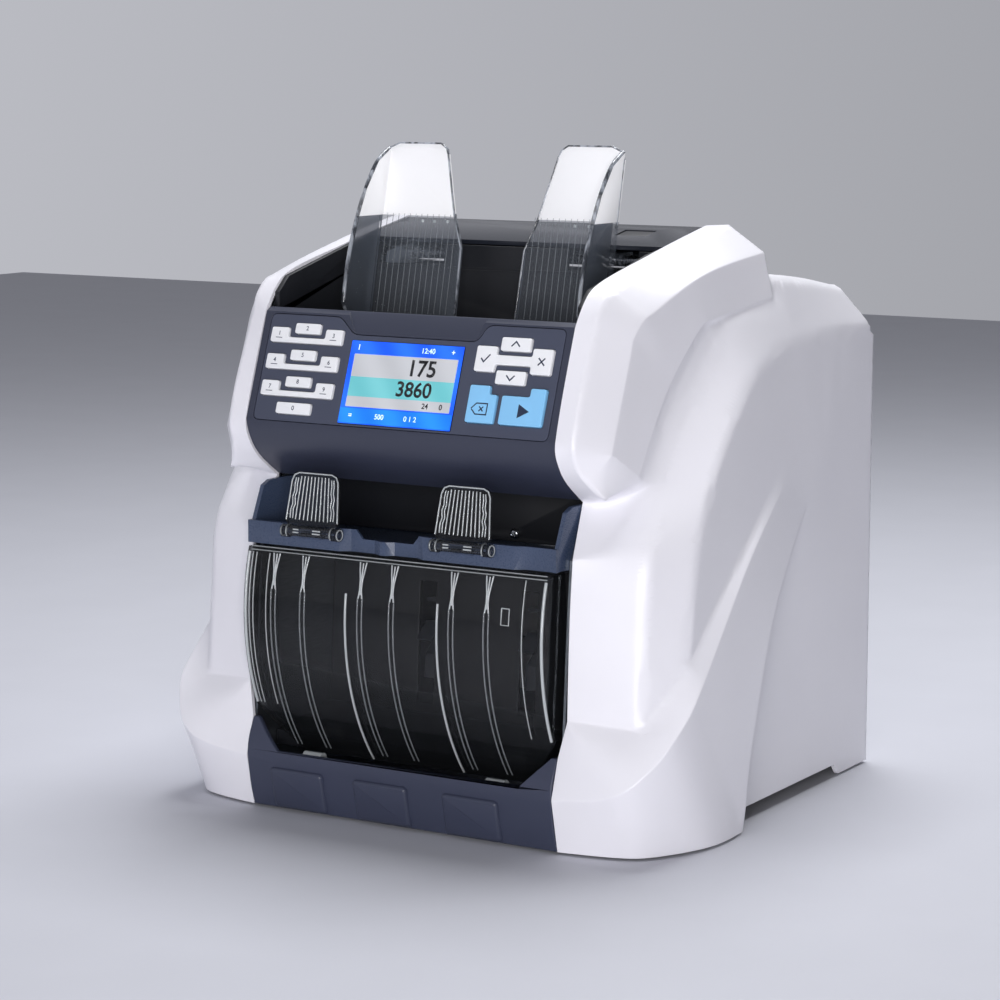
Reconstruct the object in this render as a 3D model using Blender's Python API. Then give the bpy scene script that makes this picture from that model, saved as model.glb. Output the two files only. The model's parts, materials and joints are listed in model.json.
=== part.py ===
"""A counter-top banknote sorter: two pockets, a top hopper and a sloping keypad.

Metres, +Z up, +X to the right as seen by the person who uses it, +Y to the back.
The origin is the middle of the underside of the machine's own box.
"""
import math

import bmesh
import bpy
from mathutils import Matrix, Vector

MM = 0.001

# Overall sizes
TOTAL_DEPTH = 295 * MM        # front of the clear pocket door to the back cover
BAY_HALF = 100 * MM           # middle plane to the inner edge of a side cheek
SHELL_HALF = 148 * MM         # middle plane to the flat of a side shell
WALL = 2.5 * MM               # moulded shells
LEAST_AGREEMENT = 0.45        # keeps the inner wall from crossing itself at sharp creases
PLATE = 1.5 * MM              # steel side plates and tray
GAP = 0.3 * MM                # between pieces that lie against each other
PLAY = 0.5 * MM               # between pieces that move past each other

# Heights, each one above the one before
FOOT_HEIGHT = 5 * MM          # rubber feet
SHELL_LIFT = 1.5 * MM         # underside of the shells above the table
KICK_HEIGHT = 52 * MM         # ears of the kick plate
STACKER_HEIGHT = 98 * MM      # kick plate ears to the rim of the pocket door
REJECT_HEIGHT = 36 * MM       # rim to the throat of the reject pocket
CHIN_HEIGHT = 35 * MM         # throat to the lower edge of the control panel
PANEL_LENGTH = 60 * MM        # the control panel, measured up its slope
HOPPER_HEIGHT = 45 * MM       # lip of the hopper to the rear edge of the deck
HUMP_DROP = 28 * MM           # deck down to the rear hump
GUIDE_RISE = 44 * MM          # deck up to the tops of the hopper guides

# Control panel
PANEL_MARGIN = 5 * MM         # side cheek to the edge of the control panel
PANEL_LEAN = math.radians(19.2)
PANEL_THICK = 1.8 * MM
PANEL_LEDGE = 1 * MM          # what the panel rests on, all round
KEY_TRAVEL = 1.2 * MM
KEY_PROUD = 1.6 * MM
KEY_CLEARANCE = 0.35 * MM
KEY_FLANGE = 0.8 * MM         # round each cap, behind the panel
FLANGE_THICK = 1.2 * MM
KEY_ROUND = 1.2 * MM          # corners of the caps
SCREEN_WIDTH = 72.8 * MM
SCREEN_SHIFT = -1.9 * MM      # the display sits a little to the left
SCREEN_FOOT = 1.3 * MM        # lower edge of the panel to the display
SCREEN_HEAD = 3 * MM          # display to the dip above it
DIP_DEPTH = 9.5 * MM          # the dip in the panel's upper edge, for a thumb
OUTER_KEYS = 2.4 * MM         # left edge of the panel to its keys
LEFT_KEYS = 6.3 * MM          # keys to the left edge of the display
RIGHT_KEYS = 8.5 * MM         # right edge of the display to its keys
LAST_KEYS = 4.6 * MM          # keys to the right edge of the panel

# Hopper, its two guides and deck
GUIDE_INSET = 22 * MM         # side cheek to each guide's flange, as set in use
GUIDE_IN = 16 * MM            # how far each guide slides in from there
GUIDE_OUT = 13 * MM
GUIDE_WIDTH = 58 * MM
GUIDE_THICK = 2.5 * MM
GUIDE_LEAN = math.radians(12.3)
CARRIER_NEAR = 6 * MM         # guide's flange to the carrier that runs on the rail
CARRIER_WIDTH = 14 * MM
RAIL_RADIUS = 3 * MM
PINION_RADIUS = 5 * MM
PINION_STUD = 2 * MM
RACK_THICK = 3 * MM
LATCH_INSET = 34 * MM         # side cheek to the middle of the lid's latch
LATCH_HALF = 10 * MM
LID_PIN = 1.5 * MM

# Drives
SHAFT_RADIUS = 4 * MM
FEED_ROLLER_RADIUS = 17 * MM
FEED_ROLLER_X = 30 * MM
FEED_ROLLER_HALF = 8 * MM
RETARD_SHAFT = 3 * MM
STACKER_WHEEL_RADIUS = 33 * MM
STACKER_WHEEL_X = 34 * MM
STACKER_WHEEL_HALF = 5 * MM
WHEEL_FINS = 8
BELT_WIDTH = 6 * MM
BELT_THICK = 1.2 * MM
BELT_CLEAR = 4 * MM           # side plate to the belt
BELT_POINTS = 60
FEED_PULLEY = 11 * MM
MOTOR_PULLEY = 8 * MM
STACKER_PULLEY = 13 * MM
PULLEY_FLANGE = 1.2 * MM
SPINDLE_RADIUS = 2.5 * MM
SPINDLE_DEPTH = 14 * MM
MOTOR_HALF = 21 * MM

# Reject pocket
TRAY_THICK = 3 * MM
STOP_HALF = 19 * MM
STOP_EAR = 3.6 * MM
STOP_PIN = 1.5 * MM
STOP_THICK = 2 * MM
STOP_LEAN = math.radians(10)
LUG_HALF = 7 * MM
SCREW_X = 24 * MM

# Stacker pocket and its clear door
DOOR_RADIUS = 129 * MM        # the clear door is an arc about the stacker
DOOR_SIDE = 2.5 * MM          # side cheek to the door
DOOR_WALL = 2.4 * MM
DOOR_DROP = 20 * MM           # ears of the kick plate down to the door's lower edge
RIB_SHARES = (-0.862, -0.677, -0.318, -0.123, 0.246, 0.462)
RIB_HALF = 1.2 * MM
HINGE_X = 60 * MM
HINGE_HALF = 6 * MM
HINGE_PIN = 1.5 * MM
PAD_SHARES = (-0.84, -0.28, 0.28)
PAD_WIDTH = 0.36              # each pad on the kick plate, as a share of half the bay
KICK_THICK = 3 * MM

# Frame, base and back
PLATE_INSET = 4 * MM
COVER_WALL = 3 * MM
VENT_ROWS = 8
VENT_PITCH = 9 * MM
INLET_INSET = 30 * MM         # side cheek to the middle of the mains inlet
INLET_HALF = 13.5 * MM
INLET_RISE = 24 * MM
PORT_X = 25 * MM
PORT_HALF = 7 * MM
ROCKER_TILT = math.radians(8)
BOARD_FRONT = 140 * MM        # front of the machine to the main board
BOARD_BACK = 33 * MM          # main board to the back of the machine

# Levels and planes that follow from the sizes
FRONT = -TOTAL_DEPTH / 2
REAR = TOTAL_DEPTH / 2
KICK = KICK_HEIGHT
RIM = KICK + STACKER_HEIGHT
THROAT = RIM + REJECT_HEIGHT
PANEL = THROAT + CHIN_HEIGHT
LIP = PANEL + PANEL_LENGTH * math.cos(PANEL_LEAN) + 3.3 * MM
DECK = LIP + HOPPER_HEIGHT
HUMP = DECK - HUMP_DROP
GUIDE_TOP = DECK + GUIDE_RISE
INSIDE = BAY_HALF - GAP       # half width of what lies between the cheeks
PANEL_HALF = BAY_HALF - PANEL_MARGIN
SCREEN_HEIGHT = PANEL_LENGTH - DIP_DEPTH - SCREEN_HEAD - SCREEN_FOOT
KEY_GRID = PANEL_LENGTH / 60  # the keys are drawn on a grid of sixty lines up the panel
GUIDE_SPREAD = BAY_HALF - GUIDE_INSET
CARRIER_OUTER = GUIDE_SPREAD - CARRIER_NEAR
CARRIER_INNER = CARRIER_OUTER - CARRIER_WIDTH
LATCH_X = BAY_HALF - LATCH_INSET
BELT_INNER = BAY_HALF + PLATE + BELT_CLEAR
BELT_OUTER = BELT_INNER + BELT_WIDTH
STOP_CENTRES = (-0.535 * BAY_HALF, 0.445 * BAY_HALF)
SCREW_Z = RIM + 5.5 * MM
DOOR_HALF = BAY_HALF - DOOR_SIDE
DOOR_LOW = KICK - DOOR_DROP
INLET_X = BAY_HALF - INLET_INSET
INLET_Z = KICK
ROCKER_Z = INLET_Z + 13 * MM


def material(name, colour, roughness=0.5, metallic=0.0, alpha=1.0):
    """A plain material from an 8-bit sRGB colour."""
    made = bpy.data.materials.get(name)
    if made:
        return made
    made = bpy.data.materials.new(name)
    made.use_nodes = True
    shader = made.node_tree.nodes["Principled BSDF"]
    linear = []
    for channel in colour:
        part = channel / 255
        linear.append(part / 12.92 if part < 0.04045 else ((part + 0.055) / 1.055) ** 2.4)
    shader.inputs["Base Color"].default_value = (*linear, 1)
    shader.inputs["Roughness"].default_value = roughness
    shader.inputs["Metallic"].default_value = metallic
    shader.inputs["Alpha"].default_value = alpha
    return made


def white_shell():
    return material("white_abs", (232, 231, 240), 0.45)


def navy_plastic():
    return material("navy_abs", (43, 48, 65), 0.4)


def slate_plastic():
    return material("slate_abs", (54, 60, 79), 0.5)


def rail_plastic():
    return material("blue_grey_abs", (74, 90, 120), 0.4)


def clear_plastic():
    return material("clear_acrylic", (220, 228, 232), 0.08, alpha=0.35)


def steel():
    return material("bright_steel", (176, 178, 182), 0.3, 1.0)


def zinc_sheet():
    return material("zinc_plated_sheet", (150, 154, 160), 0.45, 1.0)


def rubber():
    return material("black_rubber", (28, 28, 30), 0.8)


def key_white():
    return material("white_key", (240, 241, 244), 0.4)


def key_blue():
    return material("blue_key", (138, 198, 248), 0.4)


# Points on the skin, measured from the front or the back and from a level

def cheek(out, back, level, rise=0):
    """A point by the inner edge of a side shell, in millimetres from it and from the front."""
    return Vector((BAY_HALF + out * MM, FRONT + back * MM, level + rise * MM))


def flank(out, back, level, rise=0):
    """A point by the flat of a side shell, in millimetres from it and from the front."""
    return Vector((SHELL_HALF + out * MM, FRONT + back * MM, level + rise * MM))


def tail(out, ahead, level, rise=0):
    """A point by the flat of a side shell, in millimetres ahead of the back."""
    return Vector((SHELL_HALF + out * MM, REAR - ahead * MM, level + rise * MM))


def seam(ahead, level, rise=0):
    """A point on the seam between a side shell and the back cover."""
    return Vector((BAY_HALF, REAR - ahead * MM, level + rise * MM))


def on_panel(across, up, out=0.0):
    """A point by the face of the control panel: across, up its slope, and out of it."""
    foot = Vector((0, FRONT + 7.6 * MM, PANEL))
    slope = Vector((0, math.sin(PANEL_LEAN), math.cos(PANEL_LEAN)))
    outward = Vector((0, -math.cos(PANEL_LEAN), math.sin(PANEL_LEAN)))
    return foot + Vector((across, 0, 0)) + slope * up + outward * out


def mesh_object(name, points, faces, finish, origin=None):
    """One object from points and faces, with its faces pointing out."""
    mesh = bpy.data.meshes.new(name)
    mesh.from_pydata([tuple(p) for p in points], [], faces)
    work = bmesh.new()
    work.from_mesh(mesh)
    bmesh.ops.remove_doubles(work, verts=work.verts, dist=1e-6)
    bmesh.ops.recalc_face_normals(work, faces=work.faces)
    work.to_mesh(mesh)
    work.free()
    mesh.materials.append(finish)
    made = bpy.data.objects.new(name, mesh)
    bpy.context.scene.collection.objects.link(made)
    if origin is not None:
        put_origin(made, origin)
    return made


def put_origin(made, origin):
    """Move an object's origin, and leave its shape where it is."""
    shift = Vector(origin) - made.location
    made.data.transform(Matrix.Translation(-shift))
    made.location = Vector(origin)


def stack(name, loops, finish, origin=None):
    """A closed solid through loops of points, with a face on each end."""
    count = len(loops[0])
    points = [p for loop in loops for p in loop]
    faces = [list(range(count)), list(range(len(points) - count, len(points)))]
    for level in range(len(loops) - 1):
        for k in range(count):
            a = level * count + k
            b = level * count + (k + 1) % count
            faces.append([a, b, b + count, a + count])
    return mesh_object(name, points, faces, finish, origin)


def prism_x(name, outline, start, end, finish, origin=None):
    """A (y, z) outline drawn along X."""
    return stack(name, [[(x, y, z) for y, z in outline] for x in (start, end)], finish, origin)


def prism_y(name, outline, start, end, finish, origin=None):
    """An (x, z) outline drawn along Y."""
    return stack(name, [[(x, y, z) for x, z in outline] for y in (start, end)], finish, origin)


def prism_z(name, outline, start, end, finish, origin=None):
    """An (x, y) outline drawn along Z."""
    return stack(name, [[(x, y, z) for x, y in outline] for z in (start, end)], finish, origin)


def block(name, low, high, finish, origin=None):
    """A plain block between two corners."""
    (x0, y0, z0), (x1, y1, z1) = low, high
    return prism_z(name, [(x0, y0), (x1, y0), (x1, y1), (x0, y1)], z0, z1, finish, origin)


def turned_x(name, profile, y, z, finish, steps=24, origin=None):
    """A (radius, x) profile turned about an axis along X."""
    loops = []
    for radius, x in profile:
        ring = []
        for k in range(steps):
            angle = math.tau * k / steps
            ring.append((x, y + radius * math.cos(angle), z + radius * math.sin(angle)))
        loops.append(ring)
    return stack(name, loops, finish, origin)


def turned_y(name, profile, x, z, finish, steps=16):
    """A (radius, y) profile turned about an axis along Y."""
    loops = []
    for radius, y in profile:
        ring = []
        for k in range(steps):
            angle = math.tau * k / steps
            ring.append((x + radius * math.cos(angle), y, z + radius * math.sin(angle)))
        loops.append(ring)
    return stack(name, loops, finish)


def turned_z(name, profile, x, y, finish, steps=20, origin=None):
    """A (radius, z) profile turned about an axis along Z."""
    loops = []
    for radius, z in profile:
        ring = []
        for k in range(steps):
            angle = math.tau * k / steps
            ring.append((x + radius * math.cos(angle), y + radius * math.sin(angle), z))
        loops.append(ring)
    return stack(name, loops, finish, origin)


def combine(target, tools, operation="DIFFERENCE"):
    """Cut the tools out of the target, or join them to it, and remove them."""
    for tool in tools:
        change = target.modifiers.new(operation.lower(), "BOOLEAN")
        change.operation = operation
        change.object = tool
        depsgraph = bpy.context.evaluated_depsgraph_get()
        result = bpy.data.meshes.new_from_object(target.evaluated_get(depsgraph))
        target.modifiers.clear()
        finish = target.data.materials[0]
        target.data = result
        result.materials.clear()
        result.materials.append(finish)
        for face in result.polygons:
            face.material_index = 0
        bpy.data.objects.remove(tool)
    return target


def rounded(outline, radius, steps=3):
    """A closed outline with each corner turned into an arc."""
    result = []
    count = len(outline)
    for k in range(count):
        corner = Vector(outline[k])
        before = Vector(outline[k - 1]) - corner
        after = Vector(outline[(k + 1) % count]) - corner
        reach = min(radius, before.length * 0.45, after.length * 0.45)
        start = corner + before.normalized() * reach
        end = corner + after.normalized() * reach
        for step in range(steps + 1):
            t = step / steps
            result.append((1 - t) ** 2 * start + 2 * t * (1 - t) * corner + t ** 2 * end)
    return [(p[0], p[1]) for p in result]


def grown(outline, amount):
    """A closed outline moved outward by an amount, or inward by a negative one."""
    area = 0
    count = len(outline)
    for k in range(count):
        ax, ay = outline[k - 1]
        bx, by = outline[k]
        area += ax * by - bx * ay
    turn = 1 if area > 0 else -1
    result = []
    for k in range(count):
        here = Vector(outline[k])
        along_in = (here - Vector(outline[k - 1])).normalized()
        along_out = (Vector(outline[(k + 1) % count]) - here).normalized()
        normal_in = Vector((along_in[1], -along_in[0])) * turn
        normal_out = Vector((along_out[1], -along_out[0])) * turn
        mean = (normal_in + normal_out).normalized()
        result.append(tuple(here + mean * amount / max(0.4, mean.dot(normal_in))))
    return result


def rectangle(left, right, low, high):
    return [(left, low), (right, low), (right, high), (left, high)]


def band(line, thickness):
    """A closed outline that follows an open line, with its thickness on the line's right."""
    result = list(line)
    inner = []
    for k, point in enumerate(line):
        here = Vector(point)
        ahead = Vector(line[min(k + 1, len(line) - 1)]) - here
        behind = here - Vector(line[max(k - 1, 0)])
        normals = [Vector((d[1], -d[0])).normalized() for d in (ahead, behind) if d.length > 0]
        mean = sum(normals, Vector((0, 0))).normalized()
        inner.append(tuple(here + mean * thickness / max(0.5, mean.dot(normals[0]))))
    return result + inner[::-1]


# Side shells

def skin_lines():
    """The creases of the right shell, each from its lower front end."""
    lip_corner = on_panel(BAY_HALF, PANEL_LENGTH + 1.5 * MM, 0.4 * MM)
    lines = {
        "inner": [cheek(0, 36, THROAT), cheek(0, 18, THROAT, 13), cheek(0, 12, THROAT, 20),
                  cheek(0, 7.4, THROAT, 30), on_panel(BAY_HALF, 8 * MM, 0.4 * MM), lip_corner,
                  cheek(0, 36, LIP, 10), cheek(0, 45, LIP, 17), cheek(0, 107, DECK, -13),
                  cheek(0, 170, DECK, -0.5)],
        "bevel": [cheek(22, 22, THROAT, 4), cheek(12, 11, THROAT, 20), cheek(11, 7, THROAT, 31),
                  cheek(11, 11, PANEL, 14), cheek(11, 33, LIP, 6), cheek(11, 42, LIP, 14.6),
                  cheek(11, 76, DECK, -21), cheek(11, 143, DECK, -6), cheek(11, 176, DECK)],
        "brow": [cheek(25, 23, THROAT, 28), cheek(25, 45, LIP, -9), cheek(27, 55, LIP, 2),
                 cheek(31, 108, DECK, -24), cheek(32, 179, DECK, -15)],
        "jowl": [cheek(28, 47, THROAT, 14), cheek(29, 61, PANEL, 4), cheek(30, 76, PANEL, 25),
                 cheek(32, 92, LIP, -17), cheek(34, 107, LIP, -4), cheek(38, 178, HUMP, -11.5)],
        "tower": [cheek(4, 14, KICK, 20), cheek(4, 16, RIM, -26), cheek(4, 19, RIM, 8)],
        "corner": [flank(-6, 24, KICK, 17), flank(-6, 28, RIM, -36), flank(-7, 35.5, RIM, 14.5),
                   flank(-11.5, 61.5, THROAT, 10.5), flank(-13.8, 88, PANEL, 22),
                   flank(-12.9, 108, LIP, -21.5), flank(-11, 128.5, LIP, -6),
                   flank(-9, 179, HUMP, -15)],
        "crease": [flank(9.3, 49.5, KICK, 49.5), flank(9.5, 54, RIM, -13), flank(8.8, 61.3, RIM, 17.6),
                   flank(6.5, 82.6, THROAT, 13.6), flank(4.7, 108, PANEL, 5),
                   flank(2.8, 133.5, PANEL, 26.4), flank(0, 181, HUMP, -37.4)],
        "wing_root": [flank(9.3, 49.5, KICK, 49.5), flank(8.5, 77.8, RIM, -24),
                      flank(7.2, 109, RIM, -0.7), flank(5.3, 140, RIM, 22.6),
                      flank(3.8, 167.5, RIM, 44)],
        "ridge": [cheek(0, 4.5, KICK, -21), flank(-23, 4, KICK, -18), flank(-10, 4, KICK, -14),
                  flank(-1, 7, KICK, -8.5), flank(5, 12, KICK, -2), flank(10, 18, KICK, 5),
                  flank(14, 25, KICK, 14), flank(16, 38, KICK, 25), flank(15.8, 53.5, KICK, 39.4),
                  flank(14.6, 76.8, RIM, -35), flank(11.5, 111, RIM, -3.7),
                  flank(7.8, 143.5, RIM, 19.2), flank(3.7, 176, RIM, 38.8)],
        "skirt": [cheek(0, 11, SHELL_LIFT), flank(-12, 19, SHELL_LIFT), flank(-2, 26, SHELL_LIFT),
                  flank(15, 62, SHELL_LIFT), flank(15, 102.3, SHELL_LIFT), flank(15.5, 104.4, 13 * MM),
                  flank(15.5, 107.5, 31.5 * MM), flank(15, 120, KICK, 18.8),
                  flank(12.5, 142, RIM, -34.6), flank(8, 168.7, RIM, -7.7),
                  flank(3.5, 197, RIM, 16)],
        "lee": [flank(3.5, 106, 8 * MM), flank(3.5, 110, 31.5 * MM), flank(3.3, 123, KICK, 18.5),
                flank(3.2, 145, RIM, -35), flank(3, 171, RIM, -8.5), flank(3.5, 197, RIM, 16)],
        "hump": [tail(-14, 111, HUMP), tail(-14, 99, HUMP, -0.3), tail(-14, 62.6, HUMP, -4.4),
                 tail(-14, 25.5, HUMP, -10.6)],
        "shoulder": [flank(0, 181, HUMP, -37.4), tail(0, 63.6, HUMP, -34.3),
                     tail(0, 10, HUMP, -34.3), tail(0, 0, HUMP, -40)],
        "spine": [seam(111, HUMP), seam(62.6, HUMP, -4.4), seam(25.5, HUMP, -10.6),
                  seam(0, HUMP, -36), seam(0, SHELL_LIFT)],
    }
    return lines


def bridge(points, faces, first, second):
    """Triangles between two lines of points that run the same way."""
    base = len(points)
    points.extend(first)
    points.extend(second)

    def fraction(line, k):
        lengths = [(line[j + 1] - line[j]).length for j in range(len(line) - 1)]
        return sum(lengths[:k]) / sum(lengths)

    i = j = 0
    while i < len(first) - 1 or j < len(second) - 1:
        step_first = j == len(second) - 1
        if i < len(first) - 1 and j < len(second) - 1:
            step_first = fraction(first, i + 1) <= fraction(second, j + 1)
        a = base + i
        b = base + len(first) + j
        if step_first:
            faces.append([a, a + 1, b])
            i += 1
        else:
            faces.append([a, b + 1, b])
            j += 1


def patch(points, faces, outline):
    """One face round an outline of points."""
    base = len(points)
    points.extend(outline)
    faces.append(list(range(base, base + len(outline))))


def shell_skin():
    """The outer skin of the right shell as one open sheet."""
    line = skin_lines()
    points = []
    faces = []
    inner, bevel, brow, jowl = line["inner"], line["bevel"], line["brow"], line["jowl"]
    corner, crease, ridge, skirt = line["corner"], line["crease"], line["ridge"], line["skirt"]
    root, hump, shoulder, spine = line["wing_root"], line["hump"], line["shoulder"], line["spine"]
    tower, lee = line["tower"], line["lee"]
    kick_corner = cheek(0, 11, KICK)
    # The cheek, from its inner edge out to where it meets the flank
    bridge(points, faces, inner, bevel)
    bridge(points, faces, bevel[2:], brow)
    patch(points, faces, [bevel[0], jowl[0], brow[0], bevel[2], bevel[1]])
    bridge(points, faces, brow, jowl)
    patch(points, faces, [inner[-1], bevel[-1], brow[-1], jowl[-1], hump[0], spine[0]])
    # The tower beside the pockets
    bridge(points, faces, tower + [inner[0]], corner[:4])
    patch(points, faces, [inner[0], bevel[0], corner[3]])
    patch(points, faces, [bevel[0], jowl[0], corner[3]])
    bridge(points, faces, jowl, corner[3:])
    bridge(points, faces, corner, crease)
    # The foot, and the wing that rises from it
    bridge(points, faces, [kick_corner, tower[0], corner[0]] + root, ridge)
    bridge(points, faces, ridge, skirt)
    bridge(points, faces, skirt[4:], lee)
    # The hump and the back
    patch(points, faces, [jowl[-1], corner[-1], shoulder[0], hump[1], hump[0]])
    bridge(points, faces, hump[1:], shoulder[:3])
    patch(points, faces, [spine[0], hump[0], hump[1], hump[2], spine[1]])
    patch(points, faces, [spine[1], hump[2], hump[3], spine[2]])
    top_corner = shoulder[3]
    patch(points, faces, [spine[2], hump[3], shoulder[2], top_corner, spine[3]])
    foot_corner = tail(0, 0, SHELL_LIFT)
    patch(points, faces, [spine[3], top_corner, foot_corner, spine[4]])
    # The flat of the side, round the wing's root, ridge end and the lee behind its skirt
    notch = [tail(0, 44, SHELL_LIFT), tail(0, 50, 8 * MM)]
    side = crease + shoulder[1:] + [foot_corner] + notch + lee + [ridge[-1]] + root[::-1][:-1]
    patch(points, faces, side)
    return points, faces


def side_shell(name, mirror):
    """One side shell: the skin, and an inner wall a shell's thickness behind it."""
    points, faces = shell_skin()
    mesh = bpy.data.meshes.new(name)
    mesh.from_pydata([tuple(p) for p in points], [], faces)
    work = bmesh.new()
    work.from_mesh(mesh)
    bmesh.ops.remove_doubles(work, verts=work.verts, dist=0.02 * MM)
    bmesh.ops.triangulate(work, faces=work.faces)
    bmesh.ops.recalc_face_normals(work, faces=work.faces)
    if sum(face.normal.x * face.calc_area() for face in work.faces) < 0:
        bmesh.ops.reverse_faces(work, faces=work.faces)
    work.normal_update()
    outer = list(work.faces)
    rim = [edge for edge in work.edges if len(edge.link_faces) == 1]
    rim_points = {v for edge in rim for v in edge.verts}
    inner_of = {}
    for vertex in list(work.verts):
        inward = -vertex.normal
        if vertex in rim_points:
            if vertex.co.z < 12 * MM and vertex.co.x > BAY_HALF + 0.5 * MM:
                inward.z = 0
            elif vertex.co.x < BAY_HALF + 6 * MM:
                inward.x = 0
                if vertex.co.z < SHELL_LIFT + 0.5 * MM:
                    inward.z = 0
            inward.normalize()
        agreement = min(face.normal.dot(vertex.normal) for face in vertex.link_faces)
        reach = WALL / max(LEAST_AGREEMENT, agreement)
        inner_of[vertex] = work.verts.new(vertex.co + inward * reach)
    for face in outer:
        work.faces.new([inner_of[v] for v in reversed(face.verts)])
    for edge in rim:
        a, b = edge.verts
        work.faces.new([a, b, inner_of[b], inner_of[a]])
    bmesh.ops.recalc_face_normals(work, faces=work.faces)
    if mirror:
        for vertex in work.verts:
            vertex.co.x = -vertex.co.x
        bmesh.ops.reverse_faces(work, faces=work.faces)
    work.to_mesh(mesh)
    work.free()
    mesh.materials.append(white_shell())
    made = bpy.data.objects.new(name, mesh)
    bpy.context.scene.collection.objects.link(made)
    return made


def ahead(distance):
    """The y of a plane so far back from the front."""
    return FRONT + distance * MM


def astern(distance):
    """The y of a plane so far ahead of the back."""
    return REAR - distance * MM


def yz(back, level, rise=0.0):
    """A (y, z) pair in millimetres from the front and from a level."""
    return (ahead(back), level + rise * MM)


def disc(y, z, radius, steps=20):
    """A circle of (y, z) pairs."""
    angles = [math.tau * k / steps for k in range(steps)]
    return [(y + radius * math.cos(a), z + radius * math.sin(a)) for a in angles]


def bore(y, z, radius, start, end, steps=16):
    """A cutter for a round hole along X."""
    return prism_x("bore", disc(y, z, radius, steps), start, end, steel())


def cross_of(a, b, c):
    """Positive where the turn from ab to ac is anticlockwise."""
    return (b[0] - a[0]) * (c[1] - a[1]) - (b[1] - a[1]) * (c[0] - a[0])


def hull(points):
    """The convex outline round some (y, z) pairs."""
    ordered = sorted(points)
    halves = []
    for run in (ordered, ordered[::-1]):
        half = []
        for point in run:
            while len(half) > 1 and cross_of(half[-2], half[-1], point) <= 0:
                half.pop()
            half.append(point)
        halves.append(half[:-1])
    return halves[0] + halves[1]


# Axes that several pieces share, as (y, z)
FEED_AXIS = yz(98, LIP, -34)
RETARD_AXIS = yz(129, LIP, -6)
STACKER_AXIS = yz(118, KICK, 36)
MOTOR_AXIS = yz(152, RIM, 4)
RAIL_AXIS = yz(131, DECK, -19)
LID_AXIS = yz(172.5, HUMP, 6.5)
DOOR_AXIS = yz(15, KICK, -23)
STOP_AXIS = yz(3.9, RIM, 11)
DOOR_CENTRE = (FRONT + DOOR_RADIUS, RIM - 38 * MM)
PINION_Y = ahead(146)
PULLEYS = {"feed_pulley": (FEED_AXIS, FEED_PULLEY), "motor_pulley": (MOTOR_AXIS, MOTOR_PULLEY),
           "stacker_pulley": (STACKER_AXIS, STACKER_PULLEY)}


# Console, control panel and keys

def panel_outline():
    """The control panel as (across, up), with the dip round the scoop in the lip."""
    dip = PANEL_LENGTH - DIP_DEPTH
    left, right = screen_sides()
    return [(-PANEL_HALF, 0), (PANEL_HALF, 0), (PANEL_HALF, PANEL_LENGTH),
            (right + 12.5 * MM, PANEL_LENGTH), (right + 7 * MM, dip), (left - 0.2 * MM, dip),
            (left - 5.3 * MM, dip + DIP_DEPTH / 2), (left - 10.7 * MM, PANEL_LENGTH),
            (-PANEL_HALF, PANEL_LENGTH)]


def screen_sides():
    """Left and right edge of the display."""
    return SCREEN_SHIFT - SCREEN_WIDTH / 2, SCREEN_SHIFT + SCREEN_WIDTH / 2


def panel_solid(name, outline, low, high, finish, origin=None):
    """A solid drawn square to the panel, between two distances out of its face."""
    loops = [[on_panel(u, v, out) for u, v in outline] for out in (low, high)]
    return stack(name, loops, finish, origin)


def screen_outline():
    return rectangle(*screen_sides(), SCREEN_FOOT, SCREEN_FOOT + SCREEN_HEIGHT)


def console_line():
    """The console from the roof of the reject pocket up to the lip of the hopper."""
    face = [on_panel(0, up, 0) for up in (0, PANEL_LENGTH + 1.5 * MM)]
    return [yz(90, THROAT, 6), yz(37.5, THROAT, 0.7), yz(19.5, THROAT, 13.4), yz(13, THROAT, 20.7),
            yz(8.4, THROAT, 30.2), (face[0].y, face[0].z), (face[1].y, face[1].z),
            yz(31.5, LIP, 0.2)]


def console_housing():
    wall = 4 * MM
    made = prism_x("console_housing", band(console_line(), wall), -INSIDE, INSIDE, navy_plastic())
    seat = PANEL_THICK + GAP
    recess = panel_solid("recess", grown(panel_outline(), GAP), -seat, 4 * MM, navy_plastic())
    window = panel_solid("window", grown(panel_outline(), -PANEL_LEDGE), -9 * MM, 0,
                         navy_plastic())
    low = PANEL_LENGTH - DIP_DEPTH + 1.3 * MM
    high = PANEL_LENGTH + 7 * MM
    left, right = screen_sides()
    scoop_floor = [on_panel(left + 0.3 * MM, low, -0.2 * MM),
                   on_panel(right + 6 * MM, low, -0.2 * MM),
                   on_panel(right + 11.5 * MM, high, -2.6 * MM),
                   on_panel(left - 8.7 * MM, high, -2.6 * MM)]
    outward = on_panel(0, 0, 8 * MM) - on_panel(0, 0, 0)
    scoop = stack("scoop", [scoop_floor, [p + outward for p in scoop_floor]], navy_plastic())
    return combine(made, [recess, window, scoop])


def left_keys():
    """Left and right edge of the keys to the left of the display."""
    return OUTER_KEYS - PANEL_HALF, screen_sides()[0] - LEFT_KEYS


def right_keys():
    """Left and right edge of the keys to the right of the display."""
    return screen_sides()[1] + RIGHT_KEYS, PANEL_HALF - LAST_KEYS


def key_pair_outline(base):
    """Two caps and the web that joins them, (across, up)."""
    left, right = left_keys()
    cap = 0.242 * (right - left)
    web, tall = base + 3.1 * KEY_GRID, base + 8.5 * KEY_GRID
    return [(left, base), (right, base), (right, tall), (right - cap, tall), (right - cap, web),
            (left + cap, web), (left + cap, tall), (left, tall)]


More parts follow.
